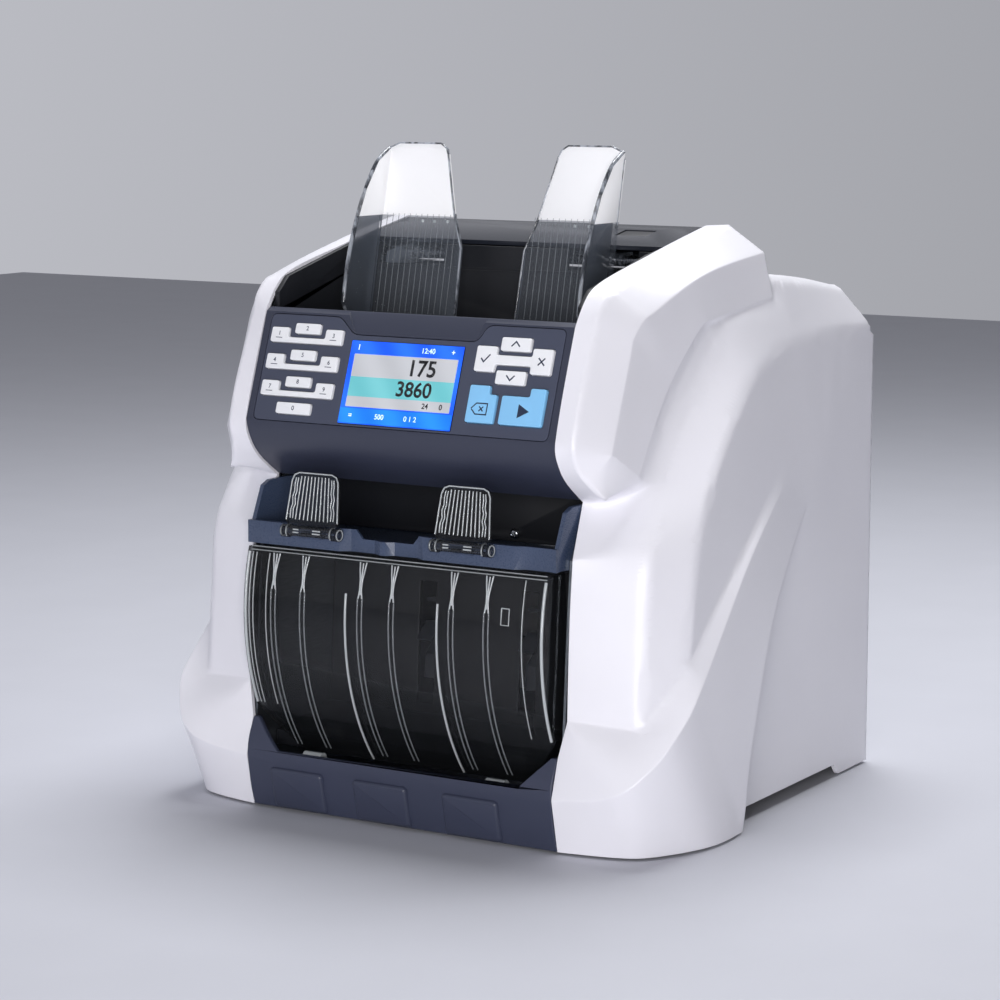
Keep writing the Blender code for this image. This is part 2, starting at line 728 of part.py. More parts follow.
def menu_pair_outline():
    """The wide H of the two keys beside the arrows."""
    left, right = right_keys()
    cap = 0.266 * (right - left)
    low, web_low, web_high, high = (line * KEY_GRID for line in (34.7, 38.9, 44.2, 48.7))
    return [(left, low), (left + cap, low), (left + cap, web_low), (right - cap, web_low),
            (right - cap, low), (right, low), (right, high), (right - cap, high),
            (right - cap, web_high), (left + cap, web_high), (left + cap, high), (left, high)]


def plain_key_outline(edges, share, line, tall):
    """A key in the middle of a column, with its share of the column's width."""
    middle = sum(edges) / 2
    half = share * (edges[1] - edges[0]) / 2
    return rectangle(middle - half, middle + half,
                     (line - tall / 2) * KEY_GRID, (line + tall / 2) * KEY_GRID)


def blue_key_outlines():
    """The two large keys below the arrows, each with a step in its upper edge."""
    left, right = right_keys()
    span = right - left
    low, high, step = 6.9 * KEY_GRID, 27.3 * KEY_GRID, 22.6 * KEY_GRID
    clear_right, clear_step = left + 0.37 * span, left + 0.266 * span
    clear = [(left, low), (clear_right, low), (clear_right, step), (clear_step, step),
             (clear_step, high), (left, high)]
    start_left, start_step = left + 0.437 * span, right - 0.205 * span
    start = [(start_left, low), (right, low), (right, high), (start_step, high),
             (start_step, step), (start_left, step)]
    return clear, start


def key_outlines():
    """Every key cap: its name, its outline and its finish."""
    keys = []
    for row, line in enumerate((43.9, 28.8, 13.7), start=1):
        keys.append((f"key_pair_{row}", key_pair_outline(line * KEY_GRID), key_white()))
        keys.append((f"key_centre_{row}", plain_key_outline(left_keys(), 0.35, line + 8.3, 5.9),
                     key_white()))
    keys.append(("key_wide", plain_key_outline(left_keys(), 0.477, 7.1, 6.4), key_white()))
    keys.append(("key_menu_pair", menu_pair_outline(), key_white()))
    keys.append(("key_up", plain_key_outline(right_keys(), 0.39, 50.3, 7.5), key_white()))
    keys.append(("key_down", plain_key_outline(right_keys(), 0.39, 32.2, 7.5), key_white()))
    clear, start = blue_key_outlines()
    keys.append(("key_clear", clear, key_blue()))
    keys.append(("key_start", start, key_blue()))
    return keys


def key_cap(name, outline, finish):
    """A cap that stands out of the panel, with a flange behind it that keeps it in."""
    outline = rounded(outline, KEY_ROUND, 1)
    flange = grown(outline, KEY_FLANGE)
    back = -PANEL_THICK - GAP
    levels = [(flange, back - FLANGE_THICK), (flange, back), (outline, back),
              (outline, KEY_PROUD - 0.5 * MM), (grown(outline, -0.5 * MM), KEY_PROUD)]
    loops = [[on_panel(u, v, out) for u, v in shape] for shape, out in levels]
    middle_across = sum(u for u, v in outline) / len(outline)
    middle_up = (min(v for u, v in outline) + max(v for u, v in outline)) / 2
    return stack(name, loops, finish, on_panel(middle_across, middle_up, back))


def control_panel():
    made = panel_solid("control_panel", panel_outline(), -PANEL_THICK, 0, navy_plastic())
    holes = [grown(screen_outline(), GAP)]
    for name, outline, finish in key_outlines():
        holes.append(grown(rounded(outline, KEY_ROUND, 1), KEY_CLEARANCE))
    cutters = [panel_solid("hole", hole, -5 * MM, 5 * MM, navy_plastic()) for hole in holes]
    return combine(made, cutters)


def keypad_board():
    depth = PANEL_THICK + GAP + FLANGE_THICK + KEY_TRAVEL + GAP
    outline = grown(panel_outline(), -PANEL_LEDGE - GAP)
    return panel_solid("keypad_board", outline, -depth - 1.6 * MM, -depth,
                       material("green_board", (34, 88, 60), 0.6))


def display_screen():
    depth = PANEL_THICK + GAP + FLANGE_THICK + KEY_TRAVEL
    return panel_solid("display_screen", screen_outline(), -depth, 0.2 * MM,
                       material("blue_display", (20, 100, 220), 0.15))


# Hopper, its two guides and deck

def floor_level(back):
    """Height of the hopper floor, which falls towards the back."""
    return LIP - 1.5 * MM - (back - 35) * 0.2756 * MM


def hopper_tray():
    finish = navy_plastic()
    thick = 2.5 * MM
    span = INSIDE - 1 * MM
    floor = [(ahead(35.5), floor_level(35.5)), (ahead(126), floor_level(126)),
             (ahead(126), floor_level(126) - thick), (ahead(35.5), floor_level(35.5) - thick)]
    made = prism_x("hopper_tray", floor, -span, span, finish)
    back_wall = [yz(116, LIP, -19), yz(121.2, DECK, -13), yz(119, DECK, -13), yz(113.6, LIP, -19)]
    shelf = [yz(117, DECK, -27), yz(157, DECK, -27), yz(157, DECK, -25.5), yz(117, DECK, -25.5)]
    wall = [yz(35.3, LIP, -6), yz(35.6, LIP, 8), yz(45, LIP, 16.5), yz(107, DECK, -13.5),
            yz(121, DECK, -11.5), yz(121, DECK, -25), yz(157, DECK, -25.5), yz(157, DECK, -28),
            yz(126, DECK, -32), yz(126, LIP, -32), yz(118, LIP, -32)]
    parts = [prism_x("back", back_wall, -span, span, finish),
             prism_x("shelf", shelf, -span, span, finish)]
    for side in (-1, 1):
        parts.append(prism_x("wall", wall, side * (INSIDE - 3 * MM), side * INSIDE, finish))
    stud = turned_z("stud", [(PINION_STUD, DECK - 26 * MM), (PINION_STUD, DECK - 15 * MM)],
                    0, PINION_Y, finish)
    combine(made, parts + [stud], "UNION")
    slot = FEED_ROLLER_HALF + PLAY
    cutters = []
    for side in (-1, 1):
        middle = side * FEED_ROLLER_X
        reach = FEED_ROLLER_RADIUS + 1.5 * MM
        cutters.append(block("slot", (middle - slot, FEED_AXIS[0] - reach, LIP - 60 * MM),
                             (middle + slot, FEED_AXIS[0] + reach, LIP - 12 * MM), finish))
        low, high = sorted((side * (CARRIER_INNER - GUIDE_IN - 1 * MM),
                            side * (CARRIER_OUTER + GUIDE_OUT + 1 * MM)))
        cutters.append(block("notch", (low, ahead(110), DECK - 24.5 * MM),
                             (high, ahead(125), DECK), finish))
    return combine(made, cutters)


def guide_rail():
    y, z = RAIL_AXIS
    reach = BAY_HALF + PLATE - 0.2 * MM
    return turned_x("guide_rail", [(RAIL_RADIUS, -reach), (RAIL_RADIUS, reach)], y, z,
                    steel(), 16)


def guide_y(height):
    """Where the leaning face of a hopper guide is, at a height."""
    return ahead(105) + (height - (DECK - 11 * MM)) * math.tan(GUIDE_LEAN)


def hopper_guide(name, side):
    """A clear guide: a leaning back plate, a side flange, and a carrier with its rack."""
    finish = clear_plastic()
    low = floor_level(94) + 6 * MM
    edge = GUIDE_SPREAD
    inner = edge - GUIDE_WIDTH
    outline = [(inner, low), (edge, low), (edge, GUIDE_TOP - 7 * MM),
               (edge - 2 * MM, GUIDE_TOP - 2.5 * MM), (edge - 8 * MM, GUIDE_TOP),
               (inner + 22 * MM, GUIDE_TOP), (inner + 18 * MM, GUIDE_TOP - 2.5 * MM),
               (inner + 16.5 * MM, GUIDE_TOP - 6 * MM), (inner + 8 * MM, DECK + 5 * MM),
               (inner + 1 * MM, DECK - 14 * MM)]
    loops = []
    for depth in (0, GUIDE_THICK):
        loops.append([(side * x, guide_y(z) + depth, z) for x, z in outline])
    made = stack(name, loops, finish)
    front = [(69, LIP + 1 * MM), (72.5, LIP + 19 * MM), (80, DECK - 4 * MM), (92, DECK + 19 * MM),
             (104, DECK + 34 * MM)]
    flange = [(ahead(b), z) for b, z in front]
    flange += [(guide_y(GUIDE_TOP - 3 * MM) + 0.4 * MM, GUIDE_TOP - 3 * MM)]
    flange += [(guide_y(low) + 1.2 * MM, low), (ahead(73), floor_level(73) + 5 * MM)]
    wall = prism_x("flange", flange, side * (edge - 2.2 * MM), side * (edge + 0.3 * MM), finish)
    y, z = RAIL_AXIS
    arm = [(guide_y(z) + 1 * MM, z - 4.4 * MM), (y + 5.8 * MM, z - 4.4 * MM),
           (y + 5.8 * MM, z + 4.6 * MM), (guide_y(z) + 1 * MM, z + 4.6 * MM)]
    carrier = prism_x("carrier", arm, side * CARRIER_INNER, side * CARRIER_OUTER, finish)
    parts = [wall, carrier]
    rack_gap = PINION_RADIUS + GAP
    if side < 0:
        rack_near = PINION_Y - rack_gap - RACK_THICK
    else:
        rack_near = PINION_Y + rack_gap
    rack_far = rack_near + RACK_THICK
    low_x, high_x = sorted((side * -14 * MM, side * (CARRIER_INNER + 4 * MM)))
    parts.append(block("rack", (low_x, rack_near, z - 3 * MM), (high_x, rack_far, z + 3 * MM),
                       finish))
    low_x, high_x = sorted((side * (CARRIER_INNER + 1 * MM), side * (CARRIER_OUTER - 1 * MM)))
    parts.append(block("link", (low_x, y + 4 * MM, z - 2.9 * MM), (high_x, rack_far, z + 2.9 * MM),
                       finish))
    combine(made, parts, "UNION")
    combine(made, [bore(y, z, RAIL_RADIUS + GAP, -BAY_HALF, BAY_HALF)])
    put_origin(made, (side * (CARRIER_INNER + CARRIER_OUTER) / 2, y, z))
    return made


def guide_pinion():
    """The wheel that makes the two guides move together."""
    low = DECK - 25.2 * MM
    high = DECK - 15 * MM
    made = turned_z("guide_pinion", [(PINION_RADIUS, low), (PINION_RADIUS, high)], 0, PINION_Y,
                    material("white_acetal", (225, 225, 220), 0.4), 20)
    hole = turned_z("hole", [(PINION_STUD + GAP, low - MM), (PINION_STUD + GAP, high + MM)],
                    0, PINION_Y, steel(), 12)
    combine(made, [hole])
    put_origin(made, (0, PINION_Y, (low + high) / 2))
    return made


def deck_line():
    return [yz(121.7, DECK, -10), yz(169, DECK, -1.4), yz(182.5, HUMP, 3)]


def deck_lid():
    finish = material("gloss_deck", (30, 33, 42), 0.15)
    half = INSIDE - GAP
    made = prism_x("deck_lid", band(deck_line(), WALL), -half, half, finish)
    y, z = LID_AXIS
    gusset = [yz(152, DECK, -6), yz(168.5, DECK, -3), yz(181, HUMP, 4), (y + 3.5 * MM, z - 4 * MM),
              (y - 3.5 * MM, z - 4 * MM)]
    parts = [prism_x("gusset", gusset, s * (half - 2.6 * MM), s * (half - 0.2 * MM), finish)
             for s in (-1, 1)]
    combine(made, parts, "UNION")
    window = block("window", (LATCH_X - LATCH_HALF, ahead(144), DECK - 20 * MM),
                   (LATCH_X + LATCH_HALF, ahead(157), DECK + 5 * MM), finish)
    combine(made, [bore(y, z, LID_PIN + GAP, -BAY_HALF, BAY_HALF), window])
    put_origin(made, (0, y, z))
    return made


def deck_level(back):
    """Height of the deck's upper face."""
    return DECK - 10 * MM + (back - 121.7) * 0.1818 * MM


def lid_latch():
    """The finger latch in the deck, which tips about its middle."""
    half = LATCH_HALF - PLAY
    top = [(ahead(b), deck_level(b) - d * MM) for b, d in ((144.8, 0.4), (156.2, 0.4))]
    outline = [top[0], top[1], (top[1][0], top[1][1] - 2 * MM), yz(152.5, DECK, -7.5),
               yz(152.5, DECK, -12), yz(149, DECK, -12), yz(149, DECK, -8),
               (top[0][0], top[0][1] - 2 * MM)]
    return prism_x("lid_latch", outline, LATCH_X - half, LATCH_X + half,
                   material("latch_abs", (24, 26, 32), 0.3), (LATCH_X, *yz(150.5, DECK, -6.5)))


def lid_hinge_pin():
    y, z = LID_AXIS
    reach = BAY_HALF + PLATE - 0.2 * MM
    return turned_x("lid_hinge_pin", [(LID_PIN, -reach), (LID_PIN, reach)], y, z, steel(), 12)


# Feed and stacker drives

def shaft(name, axis, left, right, radius=SHAFT_RADIUS):
    return turned_x(name, [(radius, -left), (radius, right)], axis[0], axis[1], steel(), 16,
                    (0, *axis))


def wheel(name, axis, middle, half, radius, hub, finish, steps=28):
    """A wheel with a bore that fits its shaft."""
    edge = 1 * MM
    made = turned_x(name, [(radius - edge, middle - half), (radius, middle - half + edge),
                           (radius, middle + half - edge), (radius - edge, middle + half)],
                    axis[0], axis[1], finish, steps)
    combine(made, [bore(axis[0], axis[1], hub + GAP, middle - 2 * half, middle + 2 * half)])
    put_origin(made, (middle, *axis))
    return made


def feed_drive():
    shaft("feed_shaft", FEED_AXIS, BELT_OUTER + 2 * MM, BAY_HALF + PLATE + 2 * MM)
    for name, side in (("feed_roller_left", -1), ("feed_roller_right", 1)):
        wheel(name, FEED_AXIS, side * FEED_ROLLER_X, FEED_ROLLER_HALF, FEED_ROLLER_RADIUS,
              SHAFT_RADIUS, material("feed_rubber", (40, 42, 48), 0.7))
    end = BAY_HALF + PLATE - 0.2 * MM
    thin = RETARD_SHAFT
    turned_x("retard_roller", [(thin, -end), (thin, -12 * MM), (9 * MM, -11 * MM),
                               (9 * MM, 11 * MM), (thin, 12 * MM), (thin, end)],
             RETARD_AXIS[0], RETARD_AXIS[1], material("retard_rubber", (60, 60, 64), 0.7), 20,
             (0, *RETARD_AXIS))


def stacker_drive():
    shaft("stacker_shaft", STACKER_AXIS, BELT_OUTER + 2 * MM, BAY_HALF + PLATE + 2 * MM)
    for name, side in (("stacker_wheel_left", -1), ("stacker_wheel_right", 1)):
        finned_wheel(name, side * STACKER_WHEEL_X)


def finned_wheel(name, middle):
    """A stacking wheel with curved fins."""
    outline = []
    hub = 14 * MM
    for k in range(WHEEL_FINS):
        start = math.tau * k / WHEEL_FINS
        for radius, turn in ((hub, 0.0), (STACKER_WHEEL_RADIUS * 0.75, 0.32),
                             (STACKER_WHEEL_RADIUS, 0.72), (STACKER_WHEEL_RADIUS - 2 * MM, 0.76),
                             (STACKER_WHEEL_RADIUS * 0.7, 0.45), (hub, 0.22)):
            angle = start + turn
            outline.append((STACKER_AXIS[0] + radius * math.cos(angle),
                            STACKER_AXIS[1] + radius * math.sin(angle)))
    made = prism_x(name, outline, middle - STACKER_WHEEL_HALF, middle + STACKER_WHEEL_HALF,
                   material("wheel_plastic", (52, 72, 110), 0.5))
    combine(made, [bore(*STACKER_AXIS, SHAFT_RADIUS + GAP, middle - 20 * MM, middle + 20 * MM)])
    put_origin(made, (middle, *STACKER_AXIS))
    return made


# Belt side, outside the left plate

def pulleys():
    for name, (axis, radius) in PULLEYS.items():
        near = -BELT_INNER + GAP
        far = -BELT_OUTER - GAP
        rim = radius + 2 * MM
        made = turned_x(name, [(rim, far - PULLEY_FLANGE), (rim, far), (radius, far),
                               (radius, near), (rim, near), (rim, near + PULLEY_FLANGE)],
                        axis[0], axis[1], material("pulley_plastic", (200, 200, 196), 0.5), 24)
        if name == "motor_pulley":
            spindle = prism_x("spindle", disc(*axis, SPINDLE_RADIUS, 12), far + MM,
                              -INSIDE + SPINDLE_DEPTH, steel())
            combine(made, [spindle], "UNION")
        else:
            combine(made, [bore(*axis, SHAFT_RADIUS + GAP, far - 9 * MM, near + 9 * MM)])
        put_origin(made, ((near + far) / 2, *axis))


def drive_belt():
    """One flat belt round the three pulleys, as two lines of the same count."""
    steps = BELT_POINTS
    lines = []
    for extra in (GAP, GAP + BELT_THICK):
        line = []
        for k in range(steps):
            angle = math.tau * k / steps
            way = Vector((math.cos(angle), math.sin(angle)))
            axis, radius = max(PULLEYS.values(), key=lambda p: Vector(p[0]).dot(way) + p[1])
            line.append(Vector(axis) + way * (radius + extra))
        lines.append(line)
    points = []
    for x in (-BELT_OUTER, -BELT_INNER):
        for line in lines:
            points.extend((x, p[0], p[1]) for p in line)
    faces = []
    for k in range(steps):
        n = (k + 1) % steps
        inner_a, outer_a, inner_b, outer_b = (m * steps for m in range(4))
        faces.append([inner_a + k, inner_a + n, outer_a + n, outer_a + k])
        faces.append([inner_b + k, inner_b + n, outer_b + n, outer_b + k])
        faces.append([inner_a + k, inner_a + n, inner_b + n, inner_b + k])
        faces.append([outer_a + k, outer_a + n, outer_b + n, outer_b + k])
    return mesh_object("drive_belt", points, faces, material("belt_rubber", (22, 22, 24), 0.8))


def drive_motor():
    """A motor behind the left plate; its spindle belongs to the pulley."""
    half = MOTOR_HALF
    y, z = MOTOR_AXIS
    corners = rounded(rectangle(y - half, y + half, z - half, z + half), 5 * MM, 1)
    made = prism_x("drive_motor", corners, -INSIDE, -INSIDE + 2 * half,
                   material("motor_case", (60, 60, 64), 0.45, 0.6))
    return combine(made, [bore(y, z, SPINDLE_RADIUS + GAP, -INSIDE - MM,
                               -INSIDE + SPINDLE_DEPTH + MM)])


# Reject pocket

def tray_level(back):
    """Height of the reject pocket's floor, which falls a little to the back."""
    return RIM + 5 * MM - (back - 14) * 0.058 * MM


def reject_tray():
    """The blue-grey rail across the front, with the floor and sides of the pocket."""
    finish = rail_plastic()
    thick = TRAY_THICK
    rail = [yz(8, RIM, 1.5), yz(8, RIM, 14), yz(12, RIM, 14), (ahead(12.5), tray_level(12.5)),
            (ahead(100), tray_level(100)), (ahead(100), tray_level(100) - thick),
            (ahead(14), tray_level(14) - thick)]
    made = prism_x("reject_tray", rail, -INSIDE, INSIDE, finish)
    wall = [yz(11, RIM, 3), yz(11.5, RIM, 13), yz(20, THROAT, -4), yz(26, THROAT, -1.5),
            yz(89, THROAT, -1.5), (ahead(89), tray_level(89) - 1 * MM)]
    parts = [prism_x("wall", wall, side * (INSIDE - WALL), side * INSIDE, finish)
             for side in (-1, 1)]
    y, z = STOP_AXIS
    lug = hull(disc(y, z, STOP_PIN + 1.8 * MM, 12)
               + [(ahead(9), z + 3 * MM), (ahead(9), z - 3 * MM)])
    parts += [prism_x("lug", lug, x - LUG_HALF, x + LUG_HALF, finish) for x in STOP_CENTRES]
    combine(made, parts, "UNION")
    grip = [(-30 * MM, RIM + 16 * MM), (-24 * MM, RIM + 9 * MM), (9 * MM, RIM + 9 * MM),
            (15 * MM, RIM + 16 * MM)]
    cutters = [prism_y("grip", grip, ahead(5), ahead(12.4), finish),
               bore(y, z, STOP_PIN + GAP, -BAY_HALF, BAY_HALF, 12)]
    slot = STOP_PIN - 0.2 * MM
    cutters.append(block("snap_slot", (-BAY_HALF, ahead(-2), z - slot), (BAY_HALF, y, z + slot),
                         finish))
    return combine(made, cutters)


def reject_stop(name, x):
    """A clear flap on the rail: it yields forward to a hand."""
    finish = clear_plastic()
    y, z = STOP_AXIS
    up = Vector((math.sin(STOP_LEAN), math.cos(STOP_LEAN)))
    outward = Vector((-up[1], up[0]))
    thick = STOP_THICK / 2
    low = STOP_EAR + 1 * MM
    half = STOP_HALF / MM
    outline = [(-half, low / MM), (half, low / MM), (half - 1, 29), (half - 4, 33),
               (4 - half, 33), (1 - half, 29)]
    loops = []
    for depth in (-thick, thick):
        loop = []
        for across, rise in outline:
            place = Vector((y, z)) + up * rise * MM + outward * depth
            loop.append((x + across * MM, place[0], place[1]))
        loops.append(loop)
    made = stack(name, loops, finish)
    tab = [Vector((y, z)) + up * (low + 1.5 * MM) + outward * side * thick for side in (-1, 1)]
    ear = hull([tuple(p) for p in tab] + disc(y, z, STOP_EAR, 16))
    inner = STOP_HALF - 4.5 * MM
    parts = [prism_x("ear", ear, x + side * inner, x + side * (STOP_HALF - 0.1 * MM), finish)
             for side in (-1, 1)]
    pin = prism_x("pin", disc(y, z, STOP_PIN, 12), x - inner - MM, x + inner + MM, finish)
    combine(made, parts + [pin], "UNION")
    put_origin(made, (x, y, z))
    return made


def reject_back_plate():
    low = tray_level(90) + GAP
    half = INSIDE - WALL - GAP
    made = block("reject_back_plate", (-half, ahead(90.5), low),
                 (half, ahead(92.5), THROAT + 9 * MM), slate_plastic())
    hole = turned_y("hole", [(1.8 * MM, ahead(88)), (1.8 * MM, ahead(95))], SCREW_X, SCREW_Z,
                    steel())
    return combine(made, [hole])


def pocket_screw():
    turned_y("pocket_screw", [(2.4 * MM, ahead(88.4)), (3 * MM, ahead(89)), (3 * MM, ahead(90.2)),
                              (1.5 * MM, ahead(90.2)), (1.5 * MM, ahead(97))],
             SCREW_X, SCREW_Z, steel(), 16)


# Stacker pocket and its clear door

def door_arc(radius, low, high, steps=14):
    """Points up an arc about the door's centre, between two heights."""
    y, z = DOOR_CENTRE
    first = math.asin((low - z) / radius)
    last = math.asin((high - z) / radius)
    angles = [first + (last - first) * k / steps for k in range(steps + 1)]
    return [(y - radius * math.cos(a), z + radius * math.sin(a)) for a in angles]


def door_face(depth, z):
    """A (y, z) pair on the door, so deep in its wall and so high."""
    radius = DOOR_RADIUS - depth
    return (DOOR_CENTRE[0] - math.sqrt(radius ** 2 - (z - DOOR_CENTRE[1]) ** 2), z)


def stacker_cover():
    """The clear bulged door, hinged at its lower edge."""
    finish = clear_plastic()
    arc = door_arc(DOOR_RADIUS, DOOR_LOW, RIM)
    made = prism_x("stacker_cover", band(arc, DOOR_WALL), -DOOR_HALF, DOOR_HALF, finish)
    side = door_arc(DOOR_RADIUS - 0.3 * MM, KICK + 9 * MM, RIM - 0.4 * MM)
    side += [yz(26, RIM, -0.4), yz(29, RIM, -30), yz(30, KICK, 38), yz(29, KICK, 9)]
    parts = [prism_x("side", side, s * (DOOR_HALF - DOOR_WALL), s * DOOR_HALF, finish)
             for s in (-1, 1)]
    rim = [yz(6.2, RIM, 0), yz(14, RIM, 0), yz(14, RIM, -2), yz(7, RIM, -2)]
    parts.append(prism_x("rim", rim, -DOOR_HALF + 0.2 * MM, DOOR_HALF - 0.2 * MM, finish))
    for share in RIB_SHARES:
        x = share * DOOR_HALF
        outer = door_arc(DOOR_RADIUS - 1.4 * MM, DOOR_LOW + 5 * MM, RIM - 1 * MM, 10)
        inner = door_arc(DOOR_RADIUS - DOOR_WALL - 1.6 * MM, DOOR_LOW + 5 * MM, RIM - 1 * MM, 10)
        parts.append(prism_x("rib", outer + inner[::-1], x - RIB_HALF, x + RIB_HALF, finish))
    seat = DOOR_WALL / 5
    lug = hull(disc(*DOOR_AXIS, 4 * MM, 14)
               + [door_face(seat, KICK - 11 * MM), door_face(seat, KICK - 19 * MM)])
    for s in (-1, 1):
        parts.append(prism_x("lug", lug, s * HINGE_X - HINGE_HALF, s * HINGE_X + HINGE_HALF, finish))
    combine(made, parts, "UNION")
    cutters = [bore(*DOOR_AXIS, HINGE_PIN + GAP, -BAY_HALF, BAY_HALF, 12)]
    for s in (-1, 1):
        start, past = DOOR_HALF - 22.5 * MM, DOOR_HALF + 12.5 * MM
        corner = [(start, KICK - 21 * MM), (DOOR_HALF + 1 * MM, KICK + 9.2 * MM),
                  (past, KICK + 9.2 * MM), (past, KICK - 30 * MM), (start, KICK - 30 * MM)]
        cutters.append(prism_y("corner", [(s * x, z) for x, z in corner], ahead(-5), ahead(60),
                               finish))
    combine(made, cutters)
    put_origin(made, (0, *DOOR_AXIS))
    return made


def cover_hinge_pin():
    reach = HINGE_X + HINGE_HALF + PLAY + 6 * MM
    return turned_x("cover_hinge_pin", [(HINGE_PIN, -reach), (HINGE_PIN, reach)], *DOOR_AXIS,
                    steel(), 12)


def kick_face(back=0.0):
    """The front of the kick plate from the table up, moved back by a distance."""
    places = [(11, SHELL_LIFT), (7.6, 12 * MM), (5.2, KICK - 26 * MM), (4.6, KICK - 20 * MM),
              (5.4, KICK - 13 * MM), (11, KICK)]
    return [(ahead(b + back / MM), z) for b, z in places]


def kick_plate():
    finish = slate_plastic()
    made = prism_x("kick_plate", kick_face() + kick_face(KICK_THICK)[::-1], -INSIDE, INSIDE, finish)
    wide, narrow = BAY_HALF - 3 * MM, BAY_HALF - 21 * MM
    dip = [(-wide, KICK + 1 * MM), (-narrow, KICK - 16.8 * MM), (narrow, KICK - 16.8 * MM),
           (wide, KICK + 1 * MM), (wide, KICK + 20 * MM), (-wide, KICK + 20 * MM)]
    combine(made, [prism_y("dip", dip, ahead(-5), ahead(30), finish)])
    parts = []
    for share in PAD_SHARES:
        left = share * BAY_HALF
        front = kick_face(-0.8 * MM)[:3]
        back = kick_face(KICK_THICK / 2)[:3]
        parts.append(prism_x("pad", front + back[::-1], left, left + PAD_WIDTH * BAY_HALF, finish))
    boss = hull(disc(*DOOR_AXIS, 4.5 * MM, 14) + [yz(6.6, KICK, -30), yz(6.6, KICK, -18)])
    near = HINGE_X + HINGE_HALF + PLAY
    for s in (-1, 1):
        parts.append(prism_x("boss", boss, s * near, s * (near + 6 * MM), finish))
    combine(made, parts, "UNION")
    return combine(made, [bore(*DOOR_AXIS, HINGE_PIN + GAP, -BAY_HALF, BAY_HALF, 12)])


def stacker_floor():
    front = door_face(DOOR_WALL, DOOR_LOW)[0] + 1.1 * MM
    line = [(front, DOOR_LOW), (front + 0.5 * MM, KICK - 11.8 * MM), yz(84.3, KICK, -4.5)]
    return prism_x("stacker_floor", band(line, 2 * MM), -INSIDE, INSIDE, slate_plastic())


def stacker_back():
    """The plate at the back of the large pocket, slotted for the stacking wheels."""
    finish = slate_plastic()
    line = [yz(85.2, KICK, -4), yz(92, RIM, -4)]
    made = prism_x("stacker_back", band(line, WALL), -INSIDE, INSIDE, finish)
    z = STACKER_AXIS[1]
    reach = STACKER_WHEEL_RADIUS + 2 * MM
    half = STACKER_WHEEL_HALF + PLAY
    cutters = [block("slot", (s * STACKER_WHEEL_X - half, ahead(70), z - reach),
                     (s * STACKER_WHEEL_X + half, ahead(110), z + reach), finish) for s in (-1, 1)]
    return combine(made, cutters)


# Frame plates, base and back

def plate_outline():
    """A side plate follows the inner edge of the side shell, a little inside it."""
    line = skin_lines()
    inner = line["inner"]
    under_cheek = cheek(0, 41, THROAT, 2)
    run = [line["skirt"][0], cheek(0, 11, KICK)] + line["tower"][1:] + [under_cheek] + inner[2:4]
    run += inner[5:6] + inner[7:] + line["spine"]
    return grown([(p.y, p.z) for p in run], -PLATE_INSET)


def frame_plate(name, side):
    made = prism_x(name, plate_outline(), side * BAY_HALF, side * (BAY_HALF + PLATE), zinc_sheet())
    low, high = sorted((side * (BAY_HALF - MM), side * (BAY_HALF + PLATE + MM)))
    holes = [(FEED_AXIS, SHAFT_RADIUS), (STACKER_AXIS, SHAFT_RADIUS),
             (RETARD_AXIS, RETARD_SHAFT), (RAIL_AXIS, RAIL_RADIUS), (LID_AXIS, LID_PIN)]
    if side < 0:
        holes.append((MOTOR_AXIS, SPINDLE_RADIUS))
    return combine(made, [bore(*axis, radius + GAP, low, high) for axis, radius in holes])


def base_tray():
    back = astern(7)
    line = [yz(15, FOOT_HEIGHT, 14), yz(15, FOOT_HEIGHT), (back, FOOT_HEIGHT),
            (back, FOOT_HEIGHT + 14 * MM)]
    return prism_x("base_tray", band(line[::-1], PLATE), -INSIDE, INSIDE, zinc_sheet())


def rubber_feet():
    across = BAY_HALF - 15 * MM
    places = [(side * across, y) for y in (ahead(35), astern(30)) for side in (-1, 1)]
    profile = [(8.5 * MM, 0), (10 * MM, 1.5 * MM), (10 * MM, FOOT_HEIGHT - GAP)]
    for number, (x, y) in enumerate(places, start=1):
        turned_z(f"rubber_foot_{number}", profile, x, y, rubber(), 20)


def rear_cover():
    finish = white_shell()
    line = [(astern(108.7), HUMP - 0.2 * MM), (astern(62.6), HUMP - 4.4 * MM),
            (astern(25.5), HUMP - 10.6 * MM), (astern(0), HUMP - 36 * MM),
            (astern(0), FOOT_HEIGHT + 3 * MM)]
    made = prism_x("rear_cover", band(line, COVER_WALL), -INSIDE, INSIDE, finish)
    cutters = []
    for row in range(VENT_ROWS):
        z = KICK + 70 * MM + row * VENT_PITCH
        for s in (-1, 1):
            near, far = sorted((s * 0.2 * BAY_HALF, s * 0.8 * BAY_HALF))
            cutters.append(block("vent", (near, astern(8), z), (far, astern(-5), z + VENT_PITCH / 3),
                                 finish))
    wide, tall = INLET_HALF + GAP, INLET_RISE + GAP
    cutters.append(block("inlet", (INLET_X - wide, astern(8), INLET_Z - tall),
                         (INLET_X + wide, astern(-5), INLET_Z + tall), finish))
    wide = PORT_HALF + GAP
    cutters.append(block("port", (PORT_X - wide, astern(8), INLET_Z - 16 * MM - GAP),
                         (PORT_X + wide, astern(-5), INLET_Z - 3 * MM + GAP), finish))
    return combine(made, cutters)


